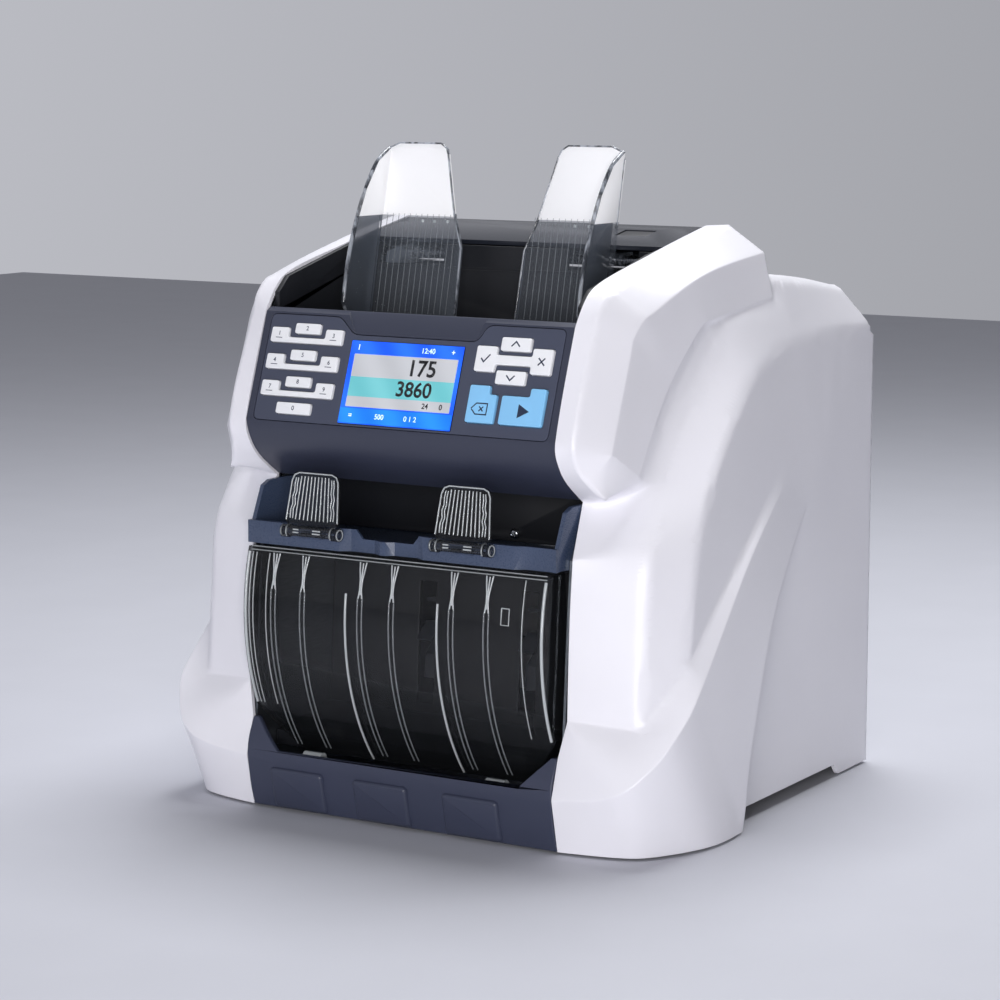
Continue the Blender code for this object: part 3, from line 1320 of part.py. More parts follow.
def power_inlet():
    """One module: the mains inlet below, and the window of the switch above."""
    finish = material("black_inlet", (24, 24, 26), 0.4)
    made = block("power_inlet", (INLET_X - INLET_HALF, astern(28), INLET_Z - INLET_RISE),
                 (INLET_X + INLET_HALF, astern(0.3), INLET_Z + INLET_RISE), finish)
    flange = block("flange", (INLET_X - 17 * MM, astern(6), INLET_Z - 27 * MM),
                   (INLET_X + 17 * MM, astern(3.3), INLET_Z + 27 * MM), finish)
    combine(made, [flange], "UNION")
    socket = [(-11, -20), (11, -20), (11, -8), (7.5, -4), (-7.5, -4), (-11, -8)]
    socket = [(INLET_X + x * MM, INLET_Z + z * MM) for x, z in socket]
    window = block("window", (INLET_X - 6.5 * MM, astern(16), ROCKER_Z - 9.5 * MM),
                   (INLET_X + 6.5 * MM, astern(-1), ROCKER_Z + 9.5 * MM), finish)
    combine(made, [prism_y("socket", socket, astern(15), astern(-1), finish), window])
    prongs = [block("prong", (INLET_X + (x - 0.6) * MM, astern(16), INLET_Z + (z - 2) * MM),
                    (INLET_X + (x + 0.6) * MM, astern(5), INLET_Z + (z + 2) * MM), finish)
              for x, z in ((-6, -13), (0, -11), (6, -13))]
    return combine(made, prongs, "UNION")


def power_switch():
    """The rocker, drawn as it lies when the machine is off."""
    y, z = astern(9.6), ROCKER_Z
    outline = []
    for across, rise in ((8.2, -8.2), (6.8, 0), (8.2, 8.2), (1, 8.6), (-4, 2), (-4, -2), (1, -8.6)):
        turn = ROCKER_TILT
        outline.append((y + (across * math.cos(turn) - rise * math.sin(turn)) * MM,
                        z + (across * math.sin(turn) + rise * math.cos(turn)) * MM))
    return prism_x("power_switch", outline, INLET_X - 6 * MM, INLET_X + 6 * MM,
                   material("switch_black", (30, 30, 32), 0.3), (INLET_X, y, z))


def data_port():
    finish = material("port_metal", (150, 150, 155), 0.35, 0.8)
    made = block("data_port", (PORT_X - PORT_HALF, astern(20), INLET_Z - 16 * MM),
                 (PORT_X + PORT_HALF, astern(0.3), INLET_Z - 3 * MM), finish)
    hollow = block("hollow", (PORT_X - 4.5 * MM, astern(12), INLET_Z - 13.5 * MM),
                   (PORT_X + 4.5 * MM, astern(-1), INLET_Z - 5.5 * MM), finish)
    return combine(made, [hollow])


def main_board():
    """The circuit board on standoffs outside the right plate."""
    near = BAY_HALF + PLATE
    front, back = FRONT + BOARD_FRONT, REAR - BOARD_BACK
    made = block("main_board", (near + 4 * MM, front, KICK + 60 * MM),
                 (near + 5.6 * MM, back, KICK + 160 * MM), material("green_board", (34, 88, 60), 0.6))
    parts = []
    for y in (front + 6 * MM, back - 6 * MM):
        for rise in (66, 154):
            parts.append(turned_x("standoff", [(3 * MM, near + GAP), (3 * MM, near + 5 * MM)],
                                  y, KICK + rise * MM, steel(), 10))
    span = back - front
    for start, rise, share, tall in ((0.2, 80, 0.16, 20), (0.49, 110, 0.23, 18), (0.65, 76, 0.25, 10)):
        y = front + start * span
        parts.append(block("chip", (near + 5 * MM, y, KICK + rise * MM),
                           (near + 8 * MM, y + share * span, KICK + (rise + tall) * MM), steel()))
    return combine(made, parts, "UNION")


def clear_scene():
    for old in list(bpy.data.objects):
        bpy.data.objects.remove(old)


def main():
    clear_scene()
    side_shell("right_side_shell", False)
    side_shell("left_side_shell", True)
    frame_plate("left_frame_plate", -1)
    frame_plate("right_frame_plate", 1)
    base_tray()
    rubber_feet()
    rear_cover()
    kick_plate()
    console_housing()
    control_panel()
    keypad_board()
    display_screen()
    for name, outline, finish in key_outlines():
        key_cap(name, outline, finish)
    hopper_tray()
    guide_rail()
    hopper_guide("hopper_guide_left", -1)
    hopper_guide("hopper_guide_right", 1)
    guide_pinion()
    deck_lid()
    lid_hinge_pin()
    lid_latch()
    feed_drive()
    stacker_drive()
    reject_tray()
    reject_back_plate()
    pocket_screw()
    for name, x in zip(("reject_stop_left", "reject_stop_right"), STOP_CENTRES):
        reject_stop(name, x)
    stacker_cover()
    cover_hinge_pin()
    stacker_floor()
    stacker_back()
    drive_motor()
    pulleys()
    drive_belt()
    main_board()
    power_inlet()
    power_switch()
    data_port()


main()
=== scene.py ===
# %% [markdown]
# # A banknote sorter for a counter
# The real machine is a white moulded housing in two halves round a dark console, with a hopper on
# top, a small reject pocket and a large pocket behind a clear door. The solids that carry and move
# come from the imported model, the frame, and this file gives them their looks. Two ways are open:
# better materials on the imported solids, or finer meshes in their place. What the eye reads first,
# the housing, the door, the guides and the keys, gets finer meshes, and the inside keeps its solids.

# %% Load the frame
import json
import math

import bmesh
import bpy
import numpy as np
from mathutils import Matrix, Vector
from mathutils.kdtree import KDTree

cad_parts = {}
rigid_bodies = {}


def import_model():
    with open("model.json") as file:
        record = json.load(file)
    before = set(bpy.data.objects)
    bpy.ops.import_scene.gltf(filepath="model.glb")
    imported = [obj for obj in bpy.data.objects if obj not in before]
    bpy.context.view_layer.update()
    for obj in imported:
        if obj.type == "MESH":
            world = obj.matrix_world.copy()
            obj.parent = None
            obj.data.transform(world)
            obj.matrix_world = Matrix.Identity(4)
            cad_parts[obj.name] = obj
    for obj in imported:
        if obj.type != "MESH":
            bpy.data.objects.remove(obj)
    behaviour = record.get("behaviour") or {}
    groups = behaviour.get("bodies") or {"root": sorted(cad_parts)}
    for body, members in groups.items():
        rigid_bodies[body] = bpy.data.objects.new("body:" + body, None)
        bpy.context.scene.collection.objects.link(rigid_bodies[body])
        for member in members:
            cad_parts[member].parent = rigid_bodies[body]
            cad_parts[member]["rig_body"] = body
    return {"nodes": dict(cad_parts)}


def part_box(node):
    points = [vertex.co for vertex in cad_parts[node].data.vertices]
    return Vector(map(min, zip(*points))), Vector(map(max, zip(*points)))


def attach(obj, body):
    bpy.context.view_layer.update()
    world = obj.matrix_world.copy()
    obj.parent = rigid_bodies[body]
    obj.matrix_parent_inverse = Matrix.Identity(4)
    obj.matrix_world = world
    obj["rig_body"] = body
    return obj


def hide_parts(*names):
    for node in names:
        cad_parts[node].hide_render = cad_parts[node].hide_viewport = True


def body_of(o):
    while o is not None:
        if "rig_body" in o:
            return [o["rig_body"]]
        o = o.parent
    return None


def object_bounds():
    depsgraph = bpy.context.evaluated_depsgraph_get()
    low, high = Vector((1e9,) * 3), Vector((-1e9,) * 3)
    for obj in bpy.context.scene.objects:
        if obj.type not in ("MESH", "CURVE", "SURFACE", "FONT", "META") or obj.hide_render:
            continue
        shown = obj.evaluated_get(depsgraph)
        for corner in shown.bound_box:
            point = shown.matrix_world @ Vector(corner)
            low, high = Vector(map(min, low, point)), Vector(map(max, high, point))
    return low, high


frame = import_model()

MM = 0.001
cad_box = [list(corner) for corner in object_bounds()]
print("the machine's box in mm:", [[round(value / MM, 1) for value in corner] for corner in cad_box])

# %% [markdown]
# ## The heights that everything hangs on
# A housing like this is drawn from a few levels: the ears of the kick plate, the rim of the clear
# door, the throat of the reject pocket, the lower edge of the keypad, the lip of the hopper, the
# deck and the rear hump. They could be typed again, but they are read from the frame's own boxes
# instead, so the dressed parts stay where the solids are.

# %% Levels and planes
REAR = cad_box[1][1]
FRONT = -REAR
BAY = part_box("right_frame_plate")[0][0]
SIDE = BAY + 48 * MM
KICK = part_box("kick_plate")[1][2]
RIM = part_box("stacker_cover")[1][2]
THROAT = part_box("reject_tray")[1][2] + 1.5 * MM
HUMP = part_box("rear_cover")[1][2] + 0.2 * MM
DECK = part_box("deck_lid")[1][2] + 1.4 * MM
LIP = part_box("console_housing")[1][2] - 0.2 * MM
GUIDE_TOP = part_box("hopper_guide_left")[1][2]
PANEL_LEAN = math.radians(19.2)
PANEL_THICK = 1.8 * MM
PANEL_LENGTH = 60 * MM
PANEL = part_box("control_panel")[0][2] + PANEL_THICK * math.sin(PANEL_LEAN)
LIFT = 1.5 * MM
GAP = 0.3 * MM
print("levels in mm:", [round(level / MM, 2) for level in (KICK, RIM, THROAT, PANEL, LIP, DECK, HUMP)])


# %% Points on the machine
def ahead(distance):
    """The y of a plane so many millimetres behind the front."""
    return FRONT + distance * MM


def astern(distance):
    """The y of a plane so many millimetres ahead of the back."""
    return REAR - distance * MM


def cheek(out, back, level, rise=0):
    """A point by the inner edge of a side shell, in millimetres from it and from the front."""
    return Vector((BAY + out * MM, ahead(back), level + rise * MM))


def flank(out, back, level, rise=0):
    """A point by the flat of a side shell, in millimetres from it and from the front."""
    return Vector((SIDE + out * MM, ahead(back), level + rise * MM))


def tail(out, distance, level, rise=0):
    """A point by the flat of a side shell, in millimetres ahead of the back."""
    return Vector((SIDE + out * MM, astern(distance), level + rise * MM))


def seam(distance, level, rise=0):
    """A point on the seam between a side shell and the back cover."""
    return Vector((BAY, astern(distance), level + rise * MM))


def on_panel(across, up, out=0.0):
    """A point by the face of the control panel: across, up its slope, and out of it."""
    foot = Vector((across, ahead(7.6), PANEL))
    slope = Vector((0, math.sin(PANEL_LEAN), math.cos(PANEL_LEAN)))
    outward = Vector((0, -math.cos(PANEL_LEAN), math.sin(PANEL_LEAN)))
    return foot + slope * up + outward * out


print("the keypad's lower right corner in mm:", [round(c / MM, 1) for c in on_panel(BAY, 0)])

# %% [markdown]
# ## Colours and nodes
# Every node tree below, for light, for finishes and for ribs, is put together with one small helper
# that adds a node with its settings and links. So each tree reads as a short list of its nodes.


# %% Colours and nodes
def linear(code):
    """An sRGB colour, such as #e8e7f0, as a linear RGBA value."""
    channels = [int(code[k:k + 2], 16) / 255 for k in (1, 3, 5)]
    return (*[c / 12.92 if c < 0.04045 else ((c + 0.055) / 1.055) ** 2.4 for c in channels], 1)


def add(tree, kind, values=None, links=None, **settings):
    """A node with its settings, its values by socket, and its links as socket: (node, output)."""
    made = tree.nodes.new(kind)
    for key, value in settings.items():
        setattr(made, key, value)
    for key, value in (values or {}).items():
        made.inputs[key].default_value = value
    for key, (source, output) in (links or {}).items():
        tree.links.new(source.outputs[output], made.inputs[key])
    return made


print("mid grey in linear values:", [round(c, 3) for c in linear("#808080")])

# %% [markdown]
# ## Camera, floor and light
# The photograph was taken with a long lens from the machine's right front, a little from above. A
# long lens keeps upright edges nearly parallel, so the camera stands 1.75 metres away. The
# front faces and the cheek's bevel are almost white, the flank is grey, and shadows are open but
# clear. So one large soft light stands low, next to the camera, a second one hangs above the back,
# and the room is dim, darkest on the right. A plain pale floor takes the shadow.

# %% Camera
CAMERA_PLACE = Vector((0.905, -1.4735, 0.421))
CAMERA_TURN = math.radians(32.17)
CAMERA_DROP = math.radians(8.41)
FOCAL_LENGTH = 108.97
SENSOR_WIDTH = 36
MIDDLE = Vector((0, 0, 0.18))


def placed(name, data):
    """An object with this data, linked into the scene."""
    made = bpy.data.objects.new(name, data)
    bpy.context.scene.collection.objects.link(made)
    return made


camera = placed("camera", bpy.data.cameras.new("camera"))
camera.data.lens = FOCAL_LENGTH
camera.data.sensor_width = SENSOR_WIDTH
camera.location = CAMERA_PLACE
camera.rotation_euler = (math.pi / 2 - CAMERA_DROP, 0, CAMERA_TURN)
bpy.context.scene.camera = camera
bpy.context.scene.view_settings.view_transform = "Standard"
print("camera", round((CAMERA_PLACE - MIDDLE).length, 2), "m from the machine's middle")


# %% Lights
DIM_LEFT, DIM_RIGHT = 0.72, 0.0
FADE_LEFT, FADE_RIGHT = -0.7, 0.5
ROOM_TINT = (0.70, 0.71, 0.77, 1)


def softbox(name, place, size, power, colour):
    """A square area light that looks at the middle of the machine."""
    lamp = bpy.data.lights.new(name, "AREA")
    lamp.size = size
    lamp.energy = power
    lamp.color = colour
    made = placed(name, lamp)
    made.location = place
    made.rotation_euler = (MIDDLE - Vector(place)).to_track_quat("-Z", "Y").to_euler()
    return made


softbox("key_light", place=(0.93, -1.7, 0.3), size=0.8, power=27, colour=(1, 0.99, 1))
softbox("top_light", place=(0.0, 0.5, 1.6), size=0.9, power=25, colour=(0.97, 0.98, 1))
world = bpy.data.worlds.new("studio")
world.use_nodes = True
studio = world.node_tree
direction = add(studio, "ShaderNodeTexCoord")
axes = add(studio, "ShaderNodeSeparateXYZ", links={"Vector": (direction, "Generated")})
fade = add(studio, "ShaderNodeMapRange",
           {"From Min": FADE_LEFT, "From Max": FADE_RIGHT, "To Min": DIM_LEFT, "To Max": DIM_RIGHT},
           {"Value": (axes, "X")})
studio.links.new(fade.outputs["Result"], studio.nodes["Background"].inputs["Strength"])
studio.nodes["Background"].inputs["Color"].default_value = ROOM_TINT
bpy.context.scene.world = world

# %% [markdown]
# ## Materials
# Every finish starts from the real one. Colours are written as the eight-bit values a designer
# would read off a screen, and one function turns them to the linear values that Blender wants.
# Patterns are drawn on Object coordinates, so a noise keeps its size on every part.

# %% Blank materials
def per_mm(size):
    """The scale of a noise whose grains are so many millimetres wide, on Object coordinates."""
    return 1 / (size * MM)


def blank(name, **values):
    """A new material with a Principled shader set to these values, and its node tree."""
    made = bpy.data.materials.new(name)
    made.use_nodes = True
    shader = made.node_tree.nodes["Principled BSDF"]
    for key, value in values.items():
        shader.inputs[key.replace("_", " ")].default_value = value
    return made, made.node_tree, shader


print("grains of 1 mm take a noise scale of", round(per_mm(1)))

# %% [markdown]
# ### Moulded plastics
# Housing parts are injection-moulded ABS. The tool is spark-eroded, so the surface has a very fine
# grain that spreads the highlights, and large faces vary a little in tone where the melt cooled.
# The real grain is about 0.1 mm, too fine for this picture, so it is drawn at 0.6 mm and kept low.
# Gloss comes from the roughness: 0.3 to 0.5 for a spark-eroded face, about 0.12 for a polished one.


# %% Moulded plastic
CLOUD = 70


def moulded(name, colour, other, roughness, grain=0.6, depth=0.02, coat=0.0):
    """Injection-moulded plastic: two near tones in broad clouds, with a fine grain in the gloss."""
    made, tree, shader = blank(name, IOR=1.53, Coat_Weight=coat, Coat_Roughness=0.1)
    place = add(tree, "ShaderNodeTexCoord")
    clouds = add(tree, "ShaderNodeTexNoise", {"Scale": per_mm(CLOUD), "Detail": 2},
                 {"Vector": (place, "Object")})
    tone = add(tree, "ShaderNodeMix", {"A": linear(colour), "B": linear(other)},
               {"Factor": (clouds, "Fac")}, data_type="RGBA")
    fine = add(tree, "ShaderNodeTexNoise", {"Scale": per_mm(grain), "Detail": 3},
               {"Vector": (place, "Object")})
    gloss = add(tree, "ShaderNodeMapRange", {"To Min": roughness - 0.05, "To Max": roughness + 0.05},
                {"Value": (fine, "Fac")})
    bump = add(tree, "ShaderNodeBump", {"Strength": 0.25, "Distance": depth * MM},
               {"Height": (fine, "Fac")})
    tree.links.new(tone.outputs["Result"], shader.inputs["Base Color"])
    tree.links.new(gloss.outputs["Result"], shader.inputs["Roughness"])
    tree.links.new(bump.outputs["Normal"], shader.inputs["Normal"])
    return made


# White ABS, matt enough to hide fingerprints: soft wide highlights and lavender-grey shade
WHITE_ABS = moulded("white_spark_eroded_abs", "#f0eff5", "#e9e8ef", 0.38)
# Dark blue-grey ABS of the console: reads nearly black, with a bluish sheen on its curves
NAVY_ABS = moulded("navy_moulded_abs", "#363a4b", "#303445", 0.42)
# The keypad's plate is a touch lighter and smoother than the console round it
PANEL_ABS = moulded("navy_keypad_plate", "#454a5c", "#404558", 0.38)
# Slate ABS of the kick plate, a shade bluer and duller
SLATE_ABS = moulded("slate_moulded_abs", "#383d52", "#32374a", 0.46)
# Blue-grey ABS of the reject rail, with a soft gloss that draws bright bands on its curves
RAIL_ABS = moulded("blue_grey_satin_abs", "#434f69", "#39455c", 0.28)
# Polished ABS of the deck: mirrors the light as a broad grey sheen
DECK_ABS = moulded("polished_dark_abs", "#23262f", "#1e2129", 0.2, depth=0.004, coat=0.1)
# Matt dark plastic of the pockets' walls and the hopper, painted darker still, nearly black, with the
# shade that fills them
SHADED_POCKET_ABS = moulded("pocket_abs_with_painted_shade", "#13151c", "#101218", 0.55, grain=1.2, depth=0.004)
# Key caps are glossy white ABS with crisp edges
KEY_WHITE = moulded("white_gloss_key_abs", "#f4f5f8", "#eeeff3", 0.24, depth=0.006)
# The two large keys are tinted light blue all through
KEY_BLUE = moulded("light_blue_key_abs", "#8fcdf8", "#83c4f3", 0.24, depth=0.006)
# Acetal is waxy and a little off white
ACETAL = moulded("white_acetal", "#e4e3dc", "#dad9d2", 0.4)
# Nylon of the stacking wheels, filled with graphite against wear
WHEEL_NYLON = moulded("graphite_nylon", "#2b2e36", "#25282f", 0.45)
# Black glass-filled nylon of inlet, switch and latch
BLACK_NYLON = moulded("black_glass_filled_nylon", "#1a1b1f", "#202126", 0.42, grain=0.9, depth=0.04)
print("moulded plastics:", len([m for m in bpy.data.materials if "abs" in m.name or "nylon" in m.name]))

# %% [markdown]
# ### Clear plastics, metal and rubber
# The door and the flaps are clear acrylic. Real glass shaders cost time and go dark where walls lie
# close behind each other, so the clear finish mixes a see-through shader with a glossy one: seen
# square on it lets nearly all light through, and at a glancing angle, by the Fresnel law, it mirrors
# the studio. That is why rims, ribs and bends shine while the flat of the door almost vanishes.
# The upper parts of the hopper guides are frosted and look milky white, with a faint painted glow.

# %% Clear plastic
RIPPLE, DUST, STREAK = 9, 2.5, 8
MOST_SOLID = 0.85


def clear(name, tint, body, haze, roughness, painted_refraction_tint="", glow=0.0):
    """See-through plastic with a Fresnel gloss; body is the share that looks solid.

    A second tint paints streaks up the part: painted refraction, the light and shade that a thick edge
    shows of what lies behind it, squeezed.
    """
    # A glow, where given, is painted light: the part gives off light though it is no lamp
    made, tree, shader = blank(name, IOR=1.49, Base_Color=linear(tint), Coat_Weight=1.0,
                               Coat_Roughness=0.04, Emission_Color=linear(tint),
                               Emission_Strength=glow)
    place = add(tree, "ShaderNodeTexCoord")
    ripple = add(tree, "ShaderNodeTexNoise", {"Scale": per_mm(RIPPLE), "Detail": 1},
                 {"Vector": (place, "Object")})
    dust = add(tree, "ShaderNodeTexNoise", {"Scale": per_mm(DUST), "Detail": 4},
               {"Vector": (place, "Object")})
    bump = add(tree, "ShaderNodeBump", {"Strength": 0.15, "Distance": 0.08 * MM},
               {"Height": (ripple, "Fac")})
    gloss = add(tree, "ShaderNodeMapRange", {"To Min": roughness, "To Max": roughness + 0.06},
                {"Value": (dust, "Fac")})
    glance = add(tree, "ShaderNodeLayerWeight", {"Blend": haze}, {"Normal": (bump, "Normal")})
    solid = add(tree, "ShaderNodeMapRange", {"To Min": body, "To Max": MOST_SOLID},
                {"Value": (glance, "Fresnel")})
    if painted_refraction_tint:
        drawn = add(tree, "ShaderNodeMapping", {"Scale": (2.2, 2.2, 0.35)},
                    {"Vector": (place, "Object")})
        squeezed = add(tree, "ShaderNodeTexNoise", {"Scale": per_mm(STREAK), "Detail": 3},
                       {"Vector": (drawn, "Vector")})
        steep = add(tree, "ShaderNodeMapRange", {"From Min": 0.42, "From Max": 0.58},
                    {"Value": (squeezed, "Fac")})
        tone = add(tree, "ShaderNodeMix", {"A": linear(tint), "B": linear(painted_refraction_tint)},
                   {"Factor": (steep, "Result")}, data_type="RGBA")
        tree.links.new(tone.outputs["Result"], shader.inputs["Base Color"])
    tree.links.new(bump.outputs["Normal"], shader.inputs["Normal"])
    tree.links.new(gloss.outputs["Result"], shader.inputs["Roughness"])
    tree.links.new(solid.outputs["Result"], shader.inputs["Alpha"])
    return made


# Clear acrylic of the door and the flaps: hardly any body, bright where seen at a slant
DOOR_ACRYLIC = clear("clear_moulded_acrylic", "#25272a", 0.12, 0.32, 0.05)
# Thick rims and edges gather light along their length, so they look paler and more solid
EDGE_ACRYLIC = clear("acrylic_cut_edge", "#e3e9ec", 0.5, 0.45, 0.08)
# Ribs moulded on a clear wall catch less of it
RIB_ACRYLIC = clear("acrylic_rib", "#b4bac0", 0.3, 0.4, 0.08)
# The door's side walls are seen through their whole depth, grey with paler painted streaks of refracted
# light
WALL_ACRYLIC = clear("acrylic_side_wall", "#55595a", 0.34, 0.4, 0.08, painted_refraction_tint="#c9cfd0")
# Milky polycarbonate of the hopper guides above the deck, with a faint painted glow for the light that
# it passes on from behind
GUIDE_FROST = clear("frosted_polycarbonate", "#fdfdff", 0.86, 0.4, 0.22, glow=0.16)
# The guides' lower halves are polished and show their ribs
GUIDE_CLEAR = clear("clear_polycarbonate", "#8a929e", 0.07, 0.34, 0.06)
# Looking along a guide's wall one sees dark and bright streaks, painted here as refracted light and
# shade
GUIDE_EDGE = clear("thick_clear_edge", "#3d4149", 0.72, 0.3, 0.1, painted_refraction_tint="#b9bfc9")
CLEAR_PLASTICS = (DOOR_ACRYLIC, EDGE_ACRYLIC, RIB_ACRYLIC, WALL_ACRYLIC, GUIDE_FROST, GUIDE_CLEAR,
                  GUIDE_EDGE)
print("clear plastics:", [finish.name for finish in CLEAR_PLASTICS])


# %% Metal, rubber, board and display
def brushed(name, colour, other, roughness, stretch):
    """Metal with fine marks that run along one way, and a slow change of tone."""
    made, tree, shader = blank(name, Metallic=1.0)
    place = add(tree, "ShaderNodeTexCoord")
    along = add(tree, "ShaderNodeMapping", {"Scale": stretch}, {"Vector": (place, "Object")})
    marks = add(tree, "ShaderNodeTexNoise", {"Scale": per_mm(0.8), "Detail": 3},
                {"Vector": (along, "Vector")})
    tone = add(tree, "ShaderNodeMix", {"A": linear(colour), "B": linear(other)},
               {"Factor": (marks, "Fac")}, data_type="RGBA")
    gloss = add(tree, "ShaderNodeMapRange", {"To Min": roughness - 0.08, "To Max": roughness + 0.1},
                {"Value": (marks, "Fac")})
    bump = add(tree, "ShaderNodeBump", {"Strength": 0.3, "Distance": 0.02 * MM},
               {"Height": (marks, "Fac")})
    tree.links.new(tone.outputs["Result"], shader.inputs["Base Color"])
    tree.links.new(gloss.outputs["Result"], shader.inputs["Roughness"])
    tree.links.new(bump.outputs["Normal"], shader.inputs["Normal"])
    return made


# Ground steel shafts: turning marks run round them, so the noise is long across X
SHAFT_STEEL = brushed("ground_steel", "#b9bcc2", "#8f9298", 0.25, (4, 0.3, 0.3))
# Zinc-plated sheet: dull, with rolling marks along Y
ZINC_SHEET = brushed("zinc_plated_sheet", "#9fa5ad", "#7f858e", 0.42, (1, 0.08, 1))
# Painted motor can, half metallic grey
MOTOR_CAN = brushed("lacquered_steel_can", "#3c3d42", "#2e2f34", 0.4, (0.2, 1, 1))
# Nickel-plated shell of the data port
PORT_NICKEL = brushed("nickel_plated_shell", "#b3b2ae", "#8d8c89", 0.3, (1, 1, 0.2))

# Rubber is matt, slightly dusty and never quite black
FEED_RUBBER = moulded("grey_feed_rubber", "#33353a", "#2a2b30", 0.72, grain=0.8, depth=0.08)
FOOT_RUBBER = moulded("black_foot_rubber", "#1e1e20", "#26262a", 0.8, grain=0.8, depth=0.08)
# Solder resist over copper: green, smooth, with lighter tracks as a fine pattern
BOARD_GREEN = moulded("green_solder_resist", "#1e5a3c", "#2a6e4a", 0.35, grain=2.5, depth=0.03)
print("materials so far:", len(bpy.data.materials))

# %% [markdown]
# ## Helpers for meshes
# Most pieces start as an outline that is swept, or as a copy of the imported solid, and then get
# small round edges. A moulded edge is never sharp, and it is the thin highlight along it that makes
# a piece look real. The helpers below build a mesh, cut one out of another, round its edges, and
# hand it to the frame: the body that it rides on and the node that it stands for.


# %% Build, cut and round
def piece(name, points, faces, finish):
    """An object at the origin from points and faces, merged, with its faces turned out."""
    mesh = bpy.data.meshes.new(name)
    mesh.from_pydata([tuple(p) for p in points], [], faces)
    work = bmesh.new()
    work.from_mesh(mesh)
    bmesh.ops.remove_doubles(work, verts=work.verts, dist=0.002 * MM)
    bmesh.ops.recalc_face_normals(work, faces=work.faces)
    work.to_mesh(mesh)
    work.free()
    mesh.materials.append(finish)
    return placed(name, mesh)


def loft(name, loops, finish):
    """A closed solid through loops of points, with a face on each end."""
    count = len(loops[0])
    points = [p for loop in loops for p in loop]
    faces = [list(range(count)), list(range(len(points) - count, len(points)))]
    for level in range(len(loops) - 1):
        for k in range(count):
            a, b = level * count + k, level * count + (k + 1) % count
            faces.append([a, b, b + count, a + count])
    return piece(name, points, faces, finish)


def swept_x(name, outline, start, end, finish):
    """A (y, z) outline drawn along X."""
    return loft(name, [[(x, y, z) for y, z in outline] for x in (start, end)], finish)


def swept_y(name, outline, start, end, finish):
    """An (x, z) outline drawn along Y."""
    return loft(name, [[(x, y, z) for x, z in outline] for y in (start, end)], finish)


def plain_mesh(made):
    """A new mesh of the object as its modifiers leave it."""
    return bpy.data.meshes.new_from_object(made.evaluated_get(bpy.context.evaluated_depsgraph_get()))


def baked(made):
    """The object with its modifiers turned into plain mesh."""
    finish = list(made.data.materials)
    result = plain_mesh(made)
    made.modifiers.clear()
    made.data = result
    result.materials.clear()
    for material in finish:
        result.materials.append(material)
    return made


def joined(target, tools, operation="UNION"):
    """The target with other objects joined to it or, with DIFFERENCE, cut out of it."""
    for tool in tools:
        change = target.modifiers.new("change", "BOOLEAN")
        change.operation = operation
        change.material_mode = "TRANSFER"
        change.object = tool
        baked(target)
        bpy.data.objects.remove(tool)
    return target


def softened(made, width=0.5, segments=2, angle=30):
    """Round edges, in millimetres, where faces meet at more than an angle, and smooth shading."""
    made.data.shade_smooth()
    change = made.modifiers.new("round", "BEVEL")
    change.width = width * MM
    change.segments = segments
    change.limit_method = "ANGLE"
    change.angle_limit = math.radians(angle)
    change.use_clamp_overlap = True
    change.harden_normals = True
    return baked(made)


def shaded(made, angle=30):
    """Smooth shading that stays crisp where faces meet at more than an angle."""
    made.data.shade_smooth()
    made.data.set_sharp_from_angle(angle=math.radians(angle))
    return made


def from_node(node, name, finish, width=0.4, segments=2):
    """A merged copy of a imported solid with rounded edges."""
    source = frame["nodes"][node]
    mesh = source.data.copy()
    mesh.transform(source.matrix_world)
    work = bmesh.new()
    work.from_mesh(mesh)
    bmesh.ops.remove_doubles(work, verts=work.verts, dist=0.002 * MM)
    bmesh.ops.dissolve_limit(work, angle_limit=math.radians(1), verts=work.verts, edges=work.edges)
    work.to_mesh(mesh)
    work.free()
    mesh.materials.clear()
    mesh.materials.append(finish)
    return softened(placed(name, mesh), width, segments)


# %% Hand a piece to the frame
def body_of_node(node):
    """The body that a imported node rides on."""
    return body_of(frame["nodes"][node])[0]


def stands_for(made, *nodes, slot=None):
    """The piece rides with its node's body and is shown in place of it."""
    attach(made, body_of_node(nodes[0]))
    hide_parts(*nodes)
    print(f"{made.name}: {len(made.data.polygons)} faces")
    return made


def goes_with(made, node):
    """The piece rides with a node's body beside it."""
    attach(made, body_of_node(node))
    print(f"{made.name}: {len(made.data.polygons)} faces")
    return made

# %% [markdown]
# ## The two white shells
# On the real machine each side is one moulded shell: a cheek beside the keypad, a tower beside the
# pockets, a foot that flares out, and a wing that rises from the foot towards the back. It could be
# modelled with subdivision surfaces, but its creases fade in and out, which is hard to steer there.
# So the shell is drawn as a cage of crease lines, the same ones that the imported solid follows. Each
# line is made into a smooth curve, the strips between them are filled, and the fill is then relaxed
# like a soap film: creases that stay crisp are held still and the others melt into wide curves.

